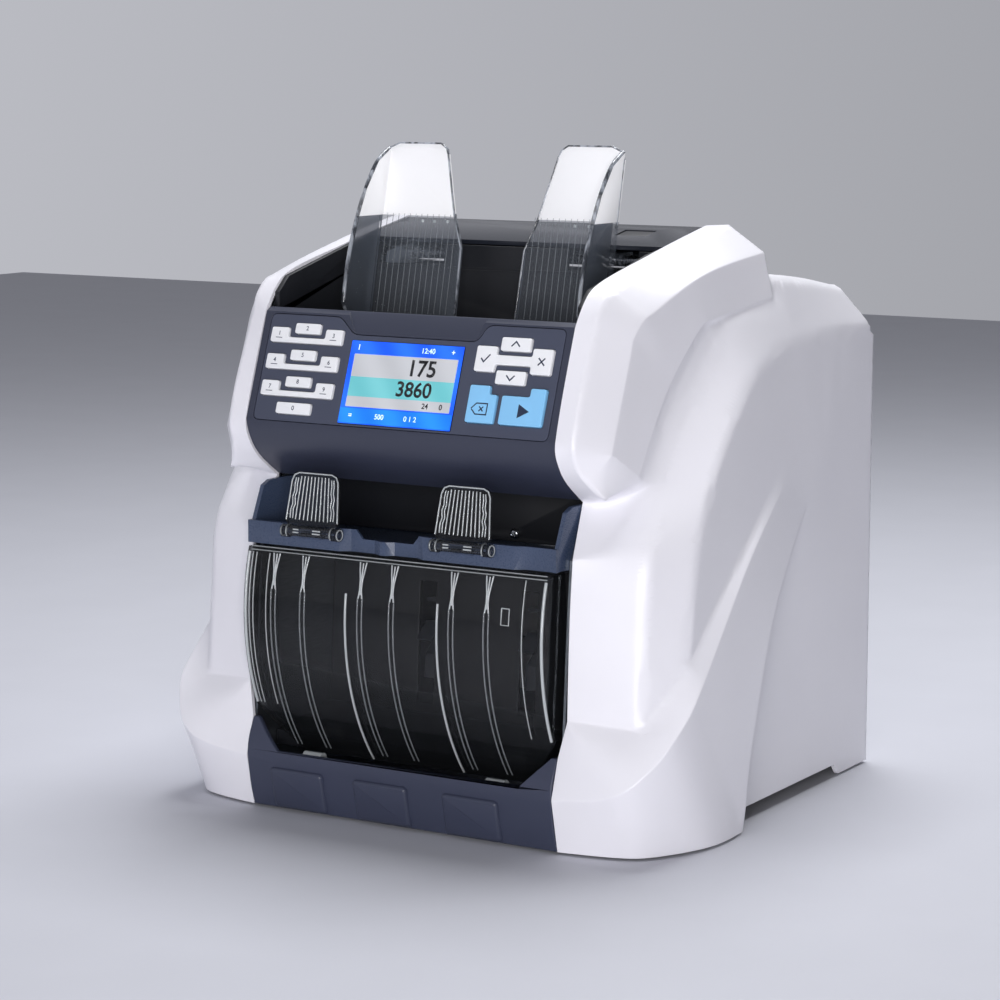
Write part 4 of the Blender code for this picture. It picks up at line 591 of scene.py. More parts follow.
# %% The crease lines of the right shell
lip_corner = on_panel(BAY, PANEL_LENGTH + 1.5 * MM, 0.4 * MM)
CREASES = {
    "inner": [cheek(0, 36, THROAT), cheek(0, 18, THROAT, 13), cheek(0, 12, THROAT, 20),
              cheek(0, 7.4, THROAT, 30), on_panel(BAY, 8 * MM, 0.4 * MM), lip_corner,
              cheek(0, 36, LIP, 10), cheek(0, 45, LIP, 17), cheek(0, 107, DECK, -13),
              cheek(0, 170, DECK, -0.5)],
    "bevel": [cheek(22, 22, THROAT, 4), cheek(12, 11, THROAT, 20), cheek(11, 7, THROAT, 31),
              cheek(11, 11, PANEL, 14), cheek(11, 30.5, LIP, -1), cheek(11, 33, LIP, 6),
              cheek(11, 42, LIP, 14.6), cheek(11, 49, LIP, 16.6), cheek(11, 76, DECK, -21),
              cheek(11, 143, DECK, -6), cheek(11, 176, DECK)],
    "brow": [cheek(25, 23, THROAT, 28), cheek(25, 42.5, LIP, -16), cheek(25, 45.5, LIP, -8),
             cheek(26.8, 54, LIP, 1.6), cheek(27.5, 61.5, LIP, 4.4), cheek(31, 108, DECK, -24),
             cheek(32, 179, DECK, -15)],
    "jowl": [cheek(28, 47, THROAT, 14), cheek(29, 61, PANEL, 4), cheek(30, 76, PANEL, 25),
             cheek(32, 92, LIP, -17), cheek(34, 107, LIP, -4), cheek(34.5, 115, LIP, -2.7),
             cheek(38, 178, HUMP, -11.5)],
    "hollow": [cheek(26.5, 52, THROAT, 13.4), cheek(26.5, 67.5, PANEL, 3), cheek(27.5, 82.5, PANEL, 24),
               cheek(29.5, 98.5, LIP, -18), cheek(31.5, 113.5, LIP, -5.2), cheek(32.2, 121.5, LIP, -4),
               cheek(36.5, 181, HUMP, -13.5)],
    "tower": [cheek(4, 14, KICK, 20), cheek(4, 16, RIM, -26), cheek(4, 19, RIM, 8)],
    "corner": [flank(-6, 24, KICK, 17), flank(-6, 28, RIM, -36), flank(-7, 35.5, RIM, 14.5),
               flank(-16, 62, THROAT, 10.5), flank(-16.5, 82, PANEL, 4),
               flank(-15.2, 100, PANEL, 23), flank(-13.5, 116, LIP, -20), flank(-11.5, 132, LIP, -6),
               flank(-9, 182, HUMP, -15.5)],
    "crease": [flank(9.3, 49.5, KICK, 49.5), flank(9.5, 54, RIM, -13), flank(8.8, 61.3, RIM, 17.6),
               flank(6.5, 82.6, THROAT, 13.6), flank(4.7, 108, PANEL, 5),
               flank(2.8, 133.5, PANEL, 26.4), flank(0, 181, HUMP, -37.4)],
    "root": [flank(9.3, 49.5, KICK, 49.5), flank(8.5, 77.8, RIM, -24), flank(7.2, 109, RIM, -0.7),
             flank(5.3, 140, RIM, 22.6), flank(3.8, 167.5, RIM, 44)],
    "ridge": [cheek(0, 4.5, KICK, -21), flank(-23, 4, KICK, -18), flank(-10, 4, KICK, -14),
              flank(-1, 7, KICK, -8.5), flank(5, 12, KICK, -2), flank(10, 18, KICK, 5),
              flank(14, 25, KICK, 14), flank(16, 38, KICK, 25), flank(15.8, 53.5, KICK, 39.4),
              flank(14.6, 76.8, RIM, -35), flank(11.5, 111, RIM, -3.7),
              flank(7.8, 143.5, RIM, 19.2), flank(3.7, 176, RIM, 38.8)],
    "skirt": [cheek(0, 11, LIFT), flank(-12, 19, LIFT), flank(-2, 26, LIFT), flank(15, 62, LIFT),
              flank(15, 102.3, LIFT), flank(15.5, 104.4, 13 * MM), flank(15.5, 107.5, 31.5 * MM),
              flank(15, 120, KICK, 18.8), flank(12.5, 142, RIM, -34.6),
              flank(8, 168.7, RIM, -7.7), flank(3.5, 197, RIM, 16)],
    "lee": [flank(3.5, 106, 8 * MM), flank(3.5, 110, 31.5 * MM), flank(3.3, 123, KICK, 18.5),
            flank(3.2, 145, RIM, -35), flank(3, 171, RIM, -8.5), flank(3.5, 197, RIM, 16)],
    "hump": [tail(-14, 111, HUMP), tail(-14, 99, HUMP, -0.3), tail(-14, 62.6, HUMP, -4.4),
             tail(-14, 25.5, HUMP, -10.6)],
    "shoulder": [flank(0, 181, HUMP, -37.4), tail(0, 63.6, HUMP, -34.3), tail(0, 10, HUMP, -34.3),
                 tail(-1.5, 3, HUMP, -41)],
    "spine": [seam(111, HUMP), seam(62.6, HUMP, -4.4), seam(25.5, HUMP, -10.6),
              seam(0, HUMP, -36), seam(0, LIFT)],
}
FOOT_CORNER = tail(-1.5, 3, LIFT)
# Real corners of a line, by the number of its point: the curve breaks there
CORNERS = {"inner": [5], "skirt": [4], "shoulder": [2], "spine": [2, 3], "hump": []}
STEP = 2.2 * MM
print("crease lines:", len(CREASES))


# %% Smooth curves through the points
def heading(before, here, after):
    """The way a centripetal Catmull-Rom curve runs through a point."""
    d0, d1 = (here - before).length ** 0.5, (after - here).length ** 0.5
    return (here - before) / d0 - (after - before) / (d0 + d1) + (after - here) / d1


def curved(points, corners=(), step=STEP):
    """The curve through the points as one list of places for each stretch between two of them."""
    stretches = []
    last = len(points) - 1
    for k in range(last):
        start, end = points[k], points[k + 1]
        span = (end - start).length ** 0.5
        smooth_start = k > 0 and k not in corners
        smooth_end = k + 1 < last and k + 1 not in corners
        go = heading(points[k - 1], start, end) if smooth_start else None
        come = heading(start, end, points[k + 2]) if smooth_end else None
        straight = (end - start) / span
        if go is None:
            go = straight if come is None else straight * 1.5 - come * 0.5
        if come is None:
            come = straight * 1.5 - go * 0.5 if smooth_start else straight
        count = max(1, round((end - start).length / step))
        stretch = []
        for n in range(count):
            t = n / count
            stretch.append(start * (2 * t ** 3 - 3 * t ** 2 + 1) + end * (3 * t ** 2 - 2 * t ** 3)
                           + go * span * (t ** 3 - 2 * t ** 2 + t) + come * span * (t ** 3 - t ** 2))
        stretches.append(stretch)
    return stretches


smooth = {name: curved(points, CORNERS.get(name, ())) for name, points in CREASES.items()}


def run(name, first=0, last=None):
    """The smooth crease from one of its points to another, both included."""
    last = len(CREASES[name]) - 1 if last is None else last
    places = [place for stretch in smooth[name][first:last] for place in stretch]
    return places + [CREASES[name][last]]


print("places on the creases:", sum(len(run(name)) for name in CREASES))


# %% Fill the strips between the creases
def strip(points, faces, first, second):
    """Triangles between two lines of points that run the same way."""
    base = len(points)
    points.extend(first)
    points.extend(second)
    shares = []
    for line in (first, second):
        lengths = np.cumsum([0.0] + [(line[k + 1] - line[k]).length for k in range(len(line) - 1)])
        shares.append(lengths / lengths[-1])
    i = j = 0
    while i < len(first) - 1 or j < len(second) - 1:
        step_first = j == len(second) - 1
        if i < len(first) - 1 and j < len(second) - 1:
            step_first = shares[0][i + 1] <= shares[1][j + 1]
        a, b = base + i, base + len(first) + j
        faces.append([a, a + 1, b] if step_first else [a, b + 1, b])
        i, j = (i + 1, j) if step_first else (i, j + 1)


def fill(points, faces, outline):
    """One face round an outline of points."""
    faces.append(list(range(len(points), len(points) + len(outline))))
    points.extend(outline)


def shell_sheet():
    """The outer skin of the right shell as one open sheet of faces."""
    points, faces = [], []
    inner, bevel, brow, jowl = (CREASES[name] for name in ("inner", "bevel", "brow", "jowl"))
    hollow, corner, hump = (CREASES[name] for name in ("hollow", "corner", "hump"))
    shoulder, spine = CREASES["shoulder"], CREASES["spine"]
    # The cheek, from its inner edge out to where it meets the flank
    strip(points, faces, run("inner"), run("bevel"))
    strip(points, faces, run("bevel", 2), run("brow"))
    fill(points, faces, run("bevel", 0, 2) + [brow[0], jowl[0]])
    strip(points, faces, run("brow"), run("jowl"))
    strip(points, faces, run("jowl"), run("hollow"))
    fill(points, faces, [inner[-1], bevel[-1], brow[-1], jowl[-1], hump[0], spine[0]])
    # The tower beside the pockets
    strip(points, faces, run("tower") + [inner[0]], run("corner", 0, 3))
    fill(points, faces, [inner[0], bevel[0], corner[3]])
    fill(points, faces, [bevel[0], jowl[0], hollow[0], corner[3]])
    strip(points, faces, run("hollow"), run("corner", 3))
    strip(points, faces, run("corner"), run("crease"))
    # The foot, and the wing that rises from it
    foot_edge = [cheek(0, 11, KICK), CREASES["tower"][0], corner[0]] + run("root")
    strip(points, faces, foot_edge, run("ridge"))
    strip(points, faces, run("ridge"), run("skirt"))
    strip(points, faces, run("skirt", 4), run("lee"))
    # The hump and the back
    fill(points, faces, [jowl[-1], hollow[-1], corner[-1], shoulder[0]] + run("hump", 0, 1)[::-1])
    strip(points, faces, run("hump", 1), run("shoulder", 0, 2))
    fill(points, faces, run("hump", 0, 2) + run("spine", 0, 1)[::-1])
    fill(points, faces, run("hump", 2, 3) + run("spine", 1, 2)[::-1])
    fill(points, faces, [hump[3]] + run("shoulder", 2, 3) + run("spine", 2, 3)[::-1])
    fill(points, faces, [shoulder[3], FOOT_CORNER, spine[4], spine[3]])
    # The flat of the side, round the wing's root, the ridge's end and the lee behind its skirt
    notch = [tail(0, 44, LIFT), tail(0, 50, 8 * MM)]
    side = run("crease") + run("shoulder")[1:] + [FOOT_CORNER] + notch + run("lee")
    side += [CREASES["ridge"][-1]] + run("root")[::-1][:-1]
    fill(points, faces, side)
    return points, faces


# %% Refine and relax
def halved(edge):
    """Splits an edge in the middle, and each triangle beside it in two."""
    middle = bmesh.utils.edge_split(edge, edge.verts[0], 0.5)[1]
    for face in list(middle.link_faces):
        beside = {other for link in middle.link_edges for other in link.verts}
        across = [v for v in face.verts if v not in beside]
        bmesh.utils.face_split(face, middle, across[0])


def refined(work, longest):
    """Halves the longest edges first, until none is longer than a length."""
    bmesh.ops.triangulate(work, faces=work.faces)
    long = [edge for edge in work.edges if edge.calc_length() > longest]
    while long:
        for edge in sorted(long, key=lambda e: -e.calc_length()):
            halved(edge)
        flat = [edge for edge in work.edges
                if edge.is_manifold and edge.calc_face_angle(3.0) < math.radians(4)]
        bmesh.ops.beautify_fill(work, faces=work.faces, edges=flat)
        long = [edge for edge in work.edges if edge.calc_length() > longest]
    return work


def relaxed(work, still, rounds, pull=0.6):
    """Moves each free point towards the mean of its neighbours, over and over."""
    work.verts.ensure_lookup_table()
    work.verts.index_update()
    places = np.array([v.co for v in work.verts])
    ends = np.array([[v.index for v in edge.verts] for edge in work.edges])
    count = np.bincount(ends.ravel(), minlength=len(places))[:, None]
    loose = ~np.asarray(still)[:, None]
    for _ in range(rounds):
        total = np.zeros_like(places)
        for axis in range(3):
            total[:, axis] = (np.bincount(ends[:, 0], places[ends[:, 1], axis], len(places))
                              + np.bincount(ends[:, 1], places[ends[:, 0], axis], len(places)))
        places = places + loose * pull * (total / count - places)
    for vertex, place in zip(work.verts, places):
        vertex.co = place
    return work


def near_lines(work, lines, reach=0.2 * MM):
    """Which points of the mesh lie on these lines of places."""
    places = [place for line in lines for place in line]
    tree = KDTree(len(places))
    for k, place in enumerate(places):
        tree.insert(place, k)
    tree.balance()
    return [tree.find(v.co)[2] < reach for v in work.verts]


# %% The right shell, and its mirror image on the left
SHELL_WALL = 2.5 * MM
CREASE_ROUND = 0.7 * MM


def between(*corners):
    """Places all along the straight lines from corner to corner."""
    places = []
    for start, end in zip(corners, corners[1:]):
        count = math.ceil((end - start).length / (0.2 * MM))
        places += [start.lerp(end, k / count) for k in range(count + 1)]
    return places


def crisp_lines():
    """The creases that stay crisp."""
    return [run(name) for name in ("inner", "brow", "jowl", "spine", "skirt", "ridge")]


def end_lines():
    """Weaker creases, and the straight edges where the creases of the cheek begin and end."""
    inner, bevel, brow, jowl = (CREASES[name] for name in ("inner", "bevel", "brow", "jowl"))
    lines = [run("bevel"), between(brow[0], jowl[0])]
    lines.append(between(inner[-1], bevel[-1], brow[-1], jowl[-1]))
    return lines + [run("root"), run("lee"), between(CREASES["shoulder"][-1], FOOT_CORNER)]


def soft_lines():
    """The creases that melt a little."""
    corner, hump, shoulder = CREASES["corner"], CREASES["hump"], CREASES["shoulder"]
    lines = [run(name) for name in ("shoulder", "crease")]
    lines += [run("corner", 0, 2), between(hump[-1], shoulder[2])]
    lines.append(between(CREASES["bevel"][0], CREASES["jowl"][0]))
    lines.append(between(CREASES["tower"][0], corner[0], CREASES["root"][0]))
    return lines


def shell_skin():
    """The outer skin, relaxed between its crisp creases, with small round edges on those."""
    points, faces = shell_sheet()
    work = bmesh.new()
    sheet = bpy.data.meshes.new("sheet")
    sheet.from_pydata([tuple(p) for p in points], [], faces)
    work.from_mesh(sheet)
    bmesh.ops.remove_doubles(work, verts=work.verts, dist=0.02 * MM)
    refined(work, 1.6 * STEP)
    bmesh.ops.recalc_face_normals(work, faces=work.faces)
    if sum(face.normal.x * face.calc_area() for face in work.faces) < 0:
        bmesh.ops.reverse_faces(work, faces=work.faces)
    rim = {v for edge in work.edges if edge.is_boundary for v in edge.verts}
    at_rim = np.array([v in rim for v in work.verts])
    crisp = np.array(near_lines(work, crisp_lines()))
    ends = np.array(near_lines(work, end_lines()))
    soft = np.array(near_lines(work, soft_lines()))
    faint = np.array(near_lines(work, [run(name) for name in ("hollow", "corner", "hump")]))
    relaxed(work, at_rim | crisp | ends | soft | faint, 40)
    relaxed(work, at_rim | crisp | ends | soft, 5)
    relaxed(work, at_rim | crisp | ends, 2)
    work.normal_update()
    held = {v for v, is_crisp in zip(work.verts, crisp) if is_crisp}
    sharp = [edge for edge in work.edges if edge.is_manifold and set(edge.verts) <= held
             and edge.calc_face_angle(0.0) > math.radians(9)]
    bmesh.ops.bevel(work, geom=sharp, offset=CREASE_ROUND, segments=2, affect="EDGES",
                    profile=0.5, clamp_overlap=False)
    bmesh.ops.triangulate(work, faces=[face for face in work.faces if len(face.verts) > 4])
    work.normal_update()
    return work


def side_shell(name, mirrored):
    """A side shell: the skin, an inner wall behind it, and small round edges at its rim."""
    work = shell_skin()
    skin = list(work.faces)
    rim_edges = [edge for edge in work.edges if edge.is_boundary]
    rim = {v for edge in rim_edges for v in edge.verts}
    behind = {}
    for vertex in list(work.verts):
        inward = -vertex.normal
        if vertex in rim and vertex.co.z < 12 * MM and vertex.co.x > BAY + 0.5 * MM:
            inward.z = 0
        elif vertex in rim and vertex.co.x < BAY + 6 * MM:
            inward.x = 0
        behind[vertex] = work.verts.new(vertex.co + inward.normalized() * SHELL_WALL)
    for face in skin:
        work.faces.new([behind[v] for v in reversed(face.verts)])
    edge_band = [work.faces.new([*edge.verts, behind[edge.verts[1]], behind[edge.verts[0]]])
                 for edge in rim_edges]
    bmesh.ops.recalc_face_normals(work, faces=work.faces)
    edges = {edge for face in edge_band for edge in face.edges
             if any(neighbour not in edge_band for neighbour in edge.link_faces)}
    bmesh.ops.bevel(work, geom=list(edges), offset=0.5 * MM, segments=2, affect="EDGES",
                    profile=0.5, clamp_overlap=True)
    if mirrored:
        bmesh.ops.scale(work, vec=(-1, 1, 1), verts=work.verts)
        bmesh.ops.reverse_faces(work, faces=work.faces)
    mesh = bpy.data.meshes.new(name)
    work.to_mesh(mesh)
    work.free()
    mesh.materials.append(WHITE_ABS)
    made = placed(name, mesh)
    made.data.shade_smooth()
    even = made.modifiers.new("even", "WEIGHTED_NORMAL")
    even.mode = "FACE_AREA"
    even.weight = 50
    return baked(made)


stands_for(side_shell("right_shell", False), "right_side_shell", slot="white_shell")
stands_for(side_shell("left_shell", True), "left_side_shell", slot="white_shell")

# %% [markdown]
# ## The console and its keypad
# Between the shells lies a dark console: it forms the chin above the reject pocket, carries the
# sloping keypad, and ends in the lip of the hopper. Its section is one line, so it is swept along X,
# with a smooth curve for the chin. The seat of the keypad and the thumb dip in the lip are cut
# out of it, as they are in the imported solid.


# %% Outlines: round corners and offsets
def rounded(outline, radius, steps=4):
    """A closed outline with each corner turned into an arc."""
    result = []
    count = len(outline)
    for k in range(count):
        corner = Vector(outline[k])
        before, after = Vector(outline[k - 1]) - corner, Vector(outline[(k + 1) % count]) - corner
        reach = min(radius, before.length * 0.48, after.length * 0.48)
        start, end = corner + before.normalized() * reach, corner + after.normalized() * reach
        for step in range(steps + 1):
            t = step / steps
            result.append(tuple((1 - t) ** 2 * start + 2 * t * (1 - t) * corner + t ** 2 * end))
    return result


def grown(outline, amount):
    """A closed outline moved outward by an amount, or inward by a negative one."""
    count = len(outline)
    area = sum(outline[k - 1][0] * outline[k][1] - outline[k][0] * outline[k - 1][1]
               for k in range(count))
    turn = 1 if area > 0 else -1
    result = []
    for k in range(count):
        here = Vector(outline[k])
        come = (here - Vector(outline[k - 1])).normalized()
        go = (Vector(outline[(k + 1) % count]) - here).normalized()
        normal = Vector((come[1], -come[0])) * turn
        mean = (normal + Vector((go[1], -go[0])) * turn).normalized()
        result.append(tuple(here + mean * amount / max(0.4, mean.dot(normal))))
    return result


def step_right(line, k, amount, least):
    """The step to the right of an open line at its point k, a little longer at a bend."""
    here = Vector(line[k])
    steps = [Vector(line[min(k + 1, len(line) - 1)]) - here, here - Vector(line[max(k - 1, 0)])]
    normals = [Vector((d[1], -d[0])).normalized() for d in steps if d.length > 0]
    mean = sum(normals, Vector((0, 0))).normalized()
    return mean * amount / max(least, mean.dot(normals[0]))


def band(line, thickness):
    """A closed outline along an open line, with its thickness on the line's right."""
    inner = [tuple(Vector(point) + step_right(line, k, thickness, 0.5))
             for k, point in enumerate(line)]
    return list(line) + inner[::-1]


def eased(line, step=1.5 * MM):
    """A smooth (y, z) line through some (y, z) points."""
    stretches = curved([Vector((0, *p)) for p in line], step=step)
    return [(p.y, p.z) for stretch in stretches for p in stretch] + [tuple(line[-1])]


def yz(back, level, rise=0.0):
    """A (y, z) pair in millimetres from the front and from a level."""
    return (ahead(back), level + rise * MM)


def box_outline(left, right, low, high):
    """A rectangle as an outline."""
    return [(left, low), (right, low), (right, high), (left, high)]


def slab(name, outline, low, high, finish):
    """A solid drawn square to the keypad, between two distances out of its face."""
    return loft(name, [[on_panel(u, v, out) for u, v in outline] for out in (low, high)], finish)


# %% The console
PANEL_HALF = BAY - 5 * MM
INSIDE = BAY - GAP
SCREEN_LEFT, SCREEN_RIGHT = -38.3 * MM, 34.5 * MM
DIP = PANEL_LENGTH - 9.5 * MM
panel_edge = [(-PANEL_HALF, 0), (PANEL_HALF, 0), (PANEL_HALF, PANEL_LENGTH),
              (SCREEN_RIGHT + 12.5 * MM, PANEL_LENGTH), (SCREEN_RIGHT + 7 * MM, DIP),
              (SCREEN_LEFT - 0.2 * MM, DIP), (SCREEN_LEFT - 5.3 * MM, DIP + 4.75 * MM),
              (SCREEN_LEFT - 10.7 * MM, PANEL_LENGTH), (-PANEL_HALF, PANEL_LENGTH)]
panel_edge = rounded(panel_edge, 3.5 * MM)


def console():
    """The dark housing round the keypad, with the keypad's seat and the thumb dip."""
    foot, head = on_panel(0, 0), on_panel(0, PANEL_LENGTH + 1.5 * MM)
    chin = eased([yz(37.5, THROAT, 0.7), yz(19.5, THROAT, 13.4), yz(13, THROAT, 20.7),
                  yz(8.4, THROAT, 30.2), (foot.y, foot.z)])
    line = [yz(90, THROAT, 6)] + chin + [(head.y, head.z), yz(31.5, LIP, 0.2)]
    made = swept_x("console", band(line, 4 * MM), -INSIDE, INSIDE, NAVY_ABS)
    seat = PANEL_THICK + GAP
    recess = slab("recess", grown(panel_edge, 0.45 * MM), -seat, 4 * MM, NAVY_ABS)
    window = slab("window", grown(panel_edge, -1.2 * MM), -9 * MM, 0, NAVY_ABS)
    low, high = DIP + 1.3 * MM, PANEL_LENGTH + 7 * MM
    floor_line = [(SCREEN_LEFT + 0.3 * MM, low, -0.2 * MM),
                  (SCREEN_RIGHT + 6 * MM, low, -0.2 * MM),
                  (SCREEN_RIGHT + 11.5 * MM, high, -2.6 * MM),
                  (SCREEN_LEFT - 8.7 * MM, high, -2.6 * MM)]
    rise = on_panel(0, 0, 8 * MM) - on_panel(0, 0)
    floor_points = [on_panel(*place) for place in floor_line]
    scoop = loft("scoop", [floor_points, [p + rise for p in floor_points]], NAVY_ABS)
    joined(made, [recess, window, scoop], "DIFFERENCE")
    return softened(made, 0.5, 3, 35)


stands_for(console(), "console_housing", slot="navy_housing")

# %% [markdown]
# ### Key caps
# The caps are moulded in groups: the outer two of each row on the left are one part, joined by a
# thin web below the middle key, and so are the two beside the arrows. Each cap is a stack of
# outlines, wide at its hidden flange, straight through the plate and rolled over at the top. Each
# rides on its own body, so that it can be pressed.

# %% Outlines of the keys
LEFT_COLUMN = (-92.6 * MM, -44.6 * MM)
RIGHT_COLUMN = (43.0 * MM, 90.4 * MM)
ROW_BASES = (43.9, 28.8, 13.7)
CENTRE_RISE = 8.3
WIDE_LINE, UP_LINE, DOWN_LINE, MENU_LINE = 7.1, 50.3, 32.2, 41.7


def pair_outline(base):
    """Two caps and the web that joins them."""
    left, right = LEFT_COLUMN
    cap = 0.242 * (right - left)
    web, tall = base + 3.1 * MM, base + 8.5 * MM
    return [(left, base), (right, base), (right, tall), (right - cap, tall), (right - cap, web),
            (left + cap, web), (left + cap, tall), (left, tall)]


def menu_outline():
    """The wide H of the two keys beside the arrows."""
    left, right = RIGHT_COLUMN
    cap = 0.266 * (right - left)
    low, web_low, web_high, high = (v * MM for v in (34.7, 38.9, 44.2, 48.7))
    return [(left, low), (left + cap, low), (left + cap, web_low), (right - cap, web_low),
            (right - cap, low), (right, low), (right, high), (right - cap, high),
            (right - cap, web_high), (left + cap, web_high), (left + cap, high), (left, high)]


def centred(column, share, line, tall):
    """A plain key in the middle of a column."""
    middle, half = sum(column) / 2, share * (column[1] - column[0]) / 2
    return box_outline(middle - half, middle + half, (line - tall / 2) * MM, (line + tall / 2) * MM)


def blue_outlines():
    """The two large keys below the arrows, each with a step in its upper edge."""
    left, right = RIGHT_COLUMN
    span = right - left
    low, high, step = 6.9 * MM, 27.3 * MM, 22.6 * MM
    clear_right, clear_step = left + 0.37 * span, left + 0.266 * span
    start_left, start_step = left + 0.437 * span, right - 0.205 * span
    erase = [(left, low), (clear_right, low), (clear_right, step), (clear_step, step),
             (clear_step, high), (left, high)]
    begin = [(start_left, low), (right, low), (right, high), (start_step, high),
             (start_step, step), (start_left, step)]
    return erase, begin


keys = {}
for row, line in enumerate(ROW_BASES, start=1):
    keys[f"key_pair_{row}"] = pair_outline(line * MM)
    keys[f"key_centre_{row}"] = centred(LEFT_COLUMN, 0.35, line + CENTRE_RISE, 5.9)
keys["key_wide"] = centred(LEFT_COLUMN, 0.477, WIDE_LINE, 6.4)
keys["key_menu_pair"] = menu_outline()
keys["key_up"] = centred(RIGHT_COLUMN, 0.39, UP_LINE, 7.5)
keys["key_down"] = centred(RIGHT_COLUMN, 0.39, DOWN_LINE, 7.5)
keys["key_clear"], keys["key_start"] = blue_outlines()
print("key caps:", len(keys))

# %% The plate and the caps
KEY_TOP = 1.6 * MM
KEY_ROUND = 1.3 * MM


def keypad_plate():
    """The plate with a hole for each cap and for the display."""
    made = slab("keypad_plate", panel_edge, -PANEL_THICK, 0, PANEL_ABS)
    screen = box_outline(SCREEN_LEFT, SCREEN_RIGHT, 1.3 * MM, 47.5 * MM)
    holes = [grown(rounded(screen, 0.8 * MM), 0.3 * MM)]
    holes += [grown(rounded(outline, KEY_ROUND), 0.4 * MM) for outline in keys.values()]
    cutters = [slab("hole", hole, -5 * MM, 5 * MM, PANEL_ABS) for hole in holes]
    return softened(joined(made, cutters, "DIFFERENCE"), 0.22, 2, 50)


def key_cap(name, outline, finish):
    """A cap with its flange behind the plate and a rolled-over top."""
    shape = rounded(outline, KEY_ROUND)
    back = -PANEL_THICK - GAP
    levels = [(0.8, back - 1.2 * MM), (0.8, back), (0, back), (0, KEY_TOP - 0.7 * MM),
              (-0.08, KEY_TOP - 0.35 * MM), (-0.28, KEY_TOP - 0.1 * MM), (-0.6, KEY_TOP)]
    loops = [[on_panel(u, v, out) for u, v in grown(shape, grow * MM)] for grow, out in levels]
    return shaded(loft(name, loops, finish), 40)


stands_for(keypad_plate(), "control_panel", slot="navy_housing")
for name, outline in keys.items():
    blue = name in ("key_clear", "key_start")
    stands_for(key_cap(name + "_cap", outline, KEY_BLUE if blue else KEY_WHITE), name,
               slot="blue_key" if blue else "white_key")

# %% [markdown]
# ### Signs on the keys
# The real caps are pad-printed in dark ink, with numbers and words. Here they carry plain numbers,
# and signs that need no words: a tick, a cross, arrows, and a triangle to start. Numbers are text
# that becomes a mesh first and is laid on the slope afterwards, signs are drawn as bent strokes.
# Ink has next to no height, so every sign is a sheet 0.04 mm thick that sinks into its cap.

# %% Ink
INK = moulded("dark_pad_print_ink", "#1d2a44", "#22304c", 0.5, grain=0.5, depth=0.004)
INK_THICK = 0.04 * MM


def text_mesh(words, size, weight):
    """Text as a flat mesh round its own middle, with strokes made thicker by a weight."""
    curve = bpy.data.curves.new("text", "FONT")
    curve.body = words
    curve.size = size
    curve.offset = weight * size
    curve.align_x, curve.align_y = "CENTER", "CENTER"
    holder = placed("text", curve)
    mesh = plain_mesh(holder)
    bpy.data.objects.remove(holder)
    return mesh


def stroke(points, width):
    """A bent stroke of even width as an outline."""
    left, right = [], []
    for k, point in enumerate(points):
        offset = step_right(points, k, width / 2, 0.4)
        left.append(tuple(Vector(point) - offset))
        right.append(tuple(Vector(point) + offset))
    return left + right[::-1]


def print_sheet(name, marks, finish, out, weight=0.012):
    """One printed sheet on the slope from texts (words, size, u, v) and outlines."""
    work = bmesh.new()
    for mark in marks:
        part = bmesh.new()
        if isinstance(mark, tuple):
            words, size, across, up = mark
            part.from_mesh(text_mesh(words, size, weight))
            bmesh.ops.translate(part, vec=(across, up, 0), verts=part.verts)
        else:
            part.faces.new([part.verts.new((u, v, 0)) for u, v in mark])
        bmesh.ops.triangulate(part, faces=part.faces)
        bmesh.ops.recalc_face_normals(part, faces=part.faces)
        if sum(face.normal.z for face in part.faces) < 0:
            bmesh.ops.reverse_faces(part, faces=part.faces)
        sheet = bpy.data.meshes.new("sheet")
        part.to_mesh(sheet)
        part.free()
        work.from_mesh(sheet)
    top = bmesh.ops.extrude_face_region(work, geom=list(work.faces))["geom"]
    risen = [g for g in top if isinstance(g, bmesh.types.BMVert)]
    bmesh.ops.translate(work, vec=(0, 0, -INK_THICK), verts=risen)
    for vertex in work.verts:
        vertex.co = on_panel(vertex.co.x, vertex.co.y, out + vertex.co.z)
    bmesh.ops.recalc_face_normals(work, faces=work.faces)
    mesh = bpy.data.meshes.new(name)
    work.to_mesh(mesh)
    work.free()
    mesh.materials.append(finish)
    return placed(name, mesh)


# %% Print the keys
def number_marks(number, across, up):
    """A number with a short rule under it."""
    rule = box_outline(across - 2.2 * MM, across + 2.2 * MM, up - 2.3 * MM, up - 1.9 * MM)
    return [(number, 3.4 * MM, across, up + 0.3 * MM), rule]


SIGN_OUT = KEY_TOP + 0.02 * MM
left_cap, right_cap = LEFT_COLUMN[0] + 5.8 * MM, LEFT_COLUMN[1] - 5.8 * MM
left_middle, right_middle = sum(LEFT_COLUMN) / 2, sum(RIGHT_COLUMN) / 2
signs = {}
for row, line in enumerate(ROW_BASES, start=1):
    first = 3 * row - 2
    signs[f"key_pair_{row}"] = (number_marks(str(first), left_cap, (line + 4.6) * MM)
                                + number_marks(str(first + 2), right_cap, (line + 4.6) * MM))
    signs[f"key_centre_{row}"] = [(str(first + 1), 3.4 * MM, left_middle, (line + CENTRE_RISE) * MM)]
signs["key_wide"] = [("0", 3.6 * MM, left_middle, WIDE_LINE * MM)]
tick = [(-2.6, 0.2), (-0.8, -1.8), (2.8, 2.4)]
cross = [[(-2, -2), (2, 2)], [(-2, 2), (-0.02, 0.02)], [(0.02, -0.02), (2, -2)]]
menu_left, menu_right = RIGHT_COLUMN[0] + 6.3 * MM, RIGHT_COLUMN[1] - 6.3 * MM


def moved(points, across, up):
    """Points in millimetres moved to a place on the slope."""
    return [(across + u * MM, up + v * MM) for u, v in points]


def strokes(bars, across, up, width=0.8):
    """Bent strokes in millimetres, moved to a place on the slope."""
    return [stroke(moved(bar, across, up), width * MM) for bar in bars]


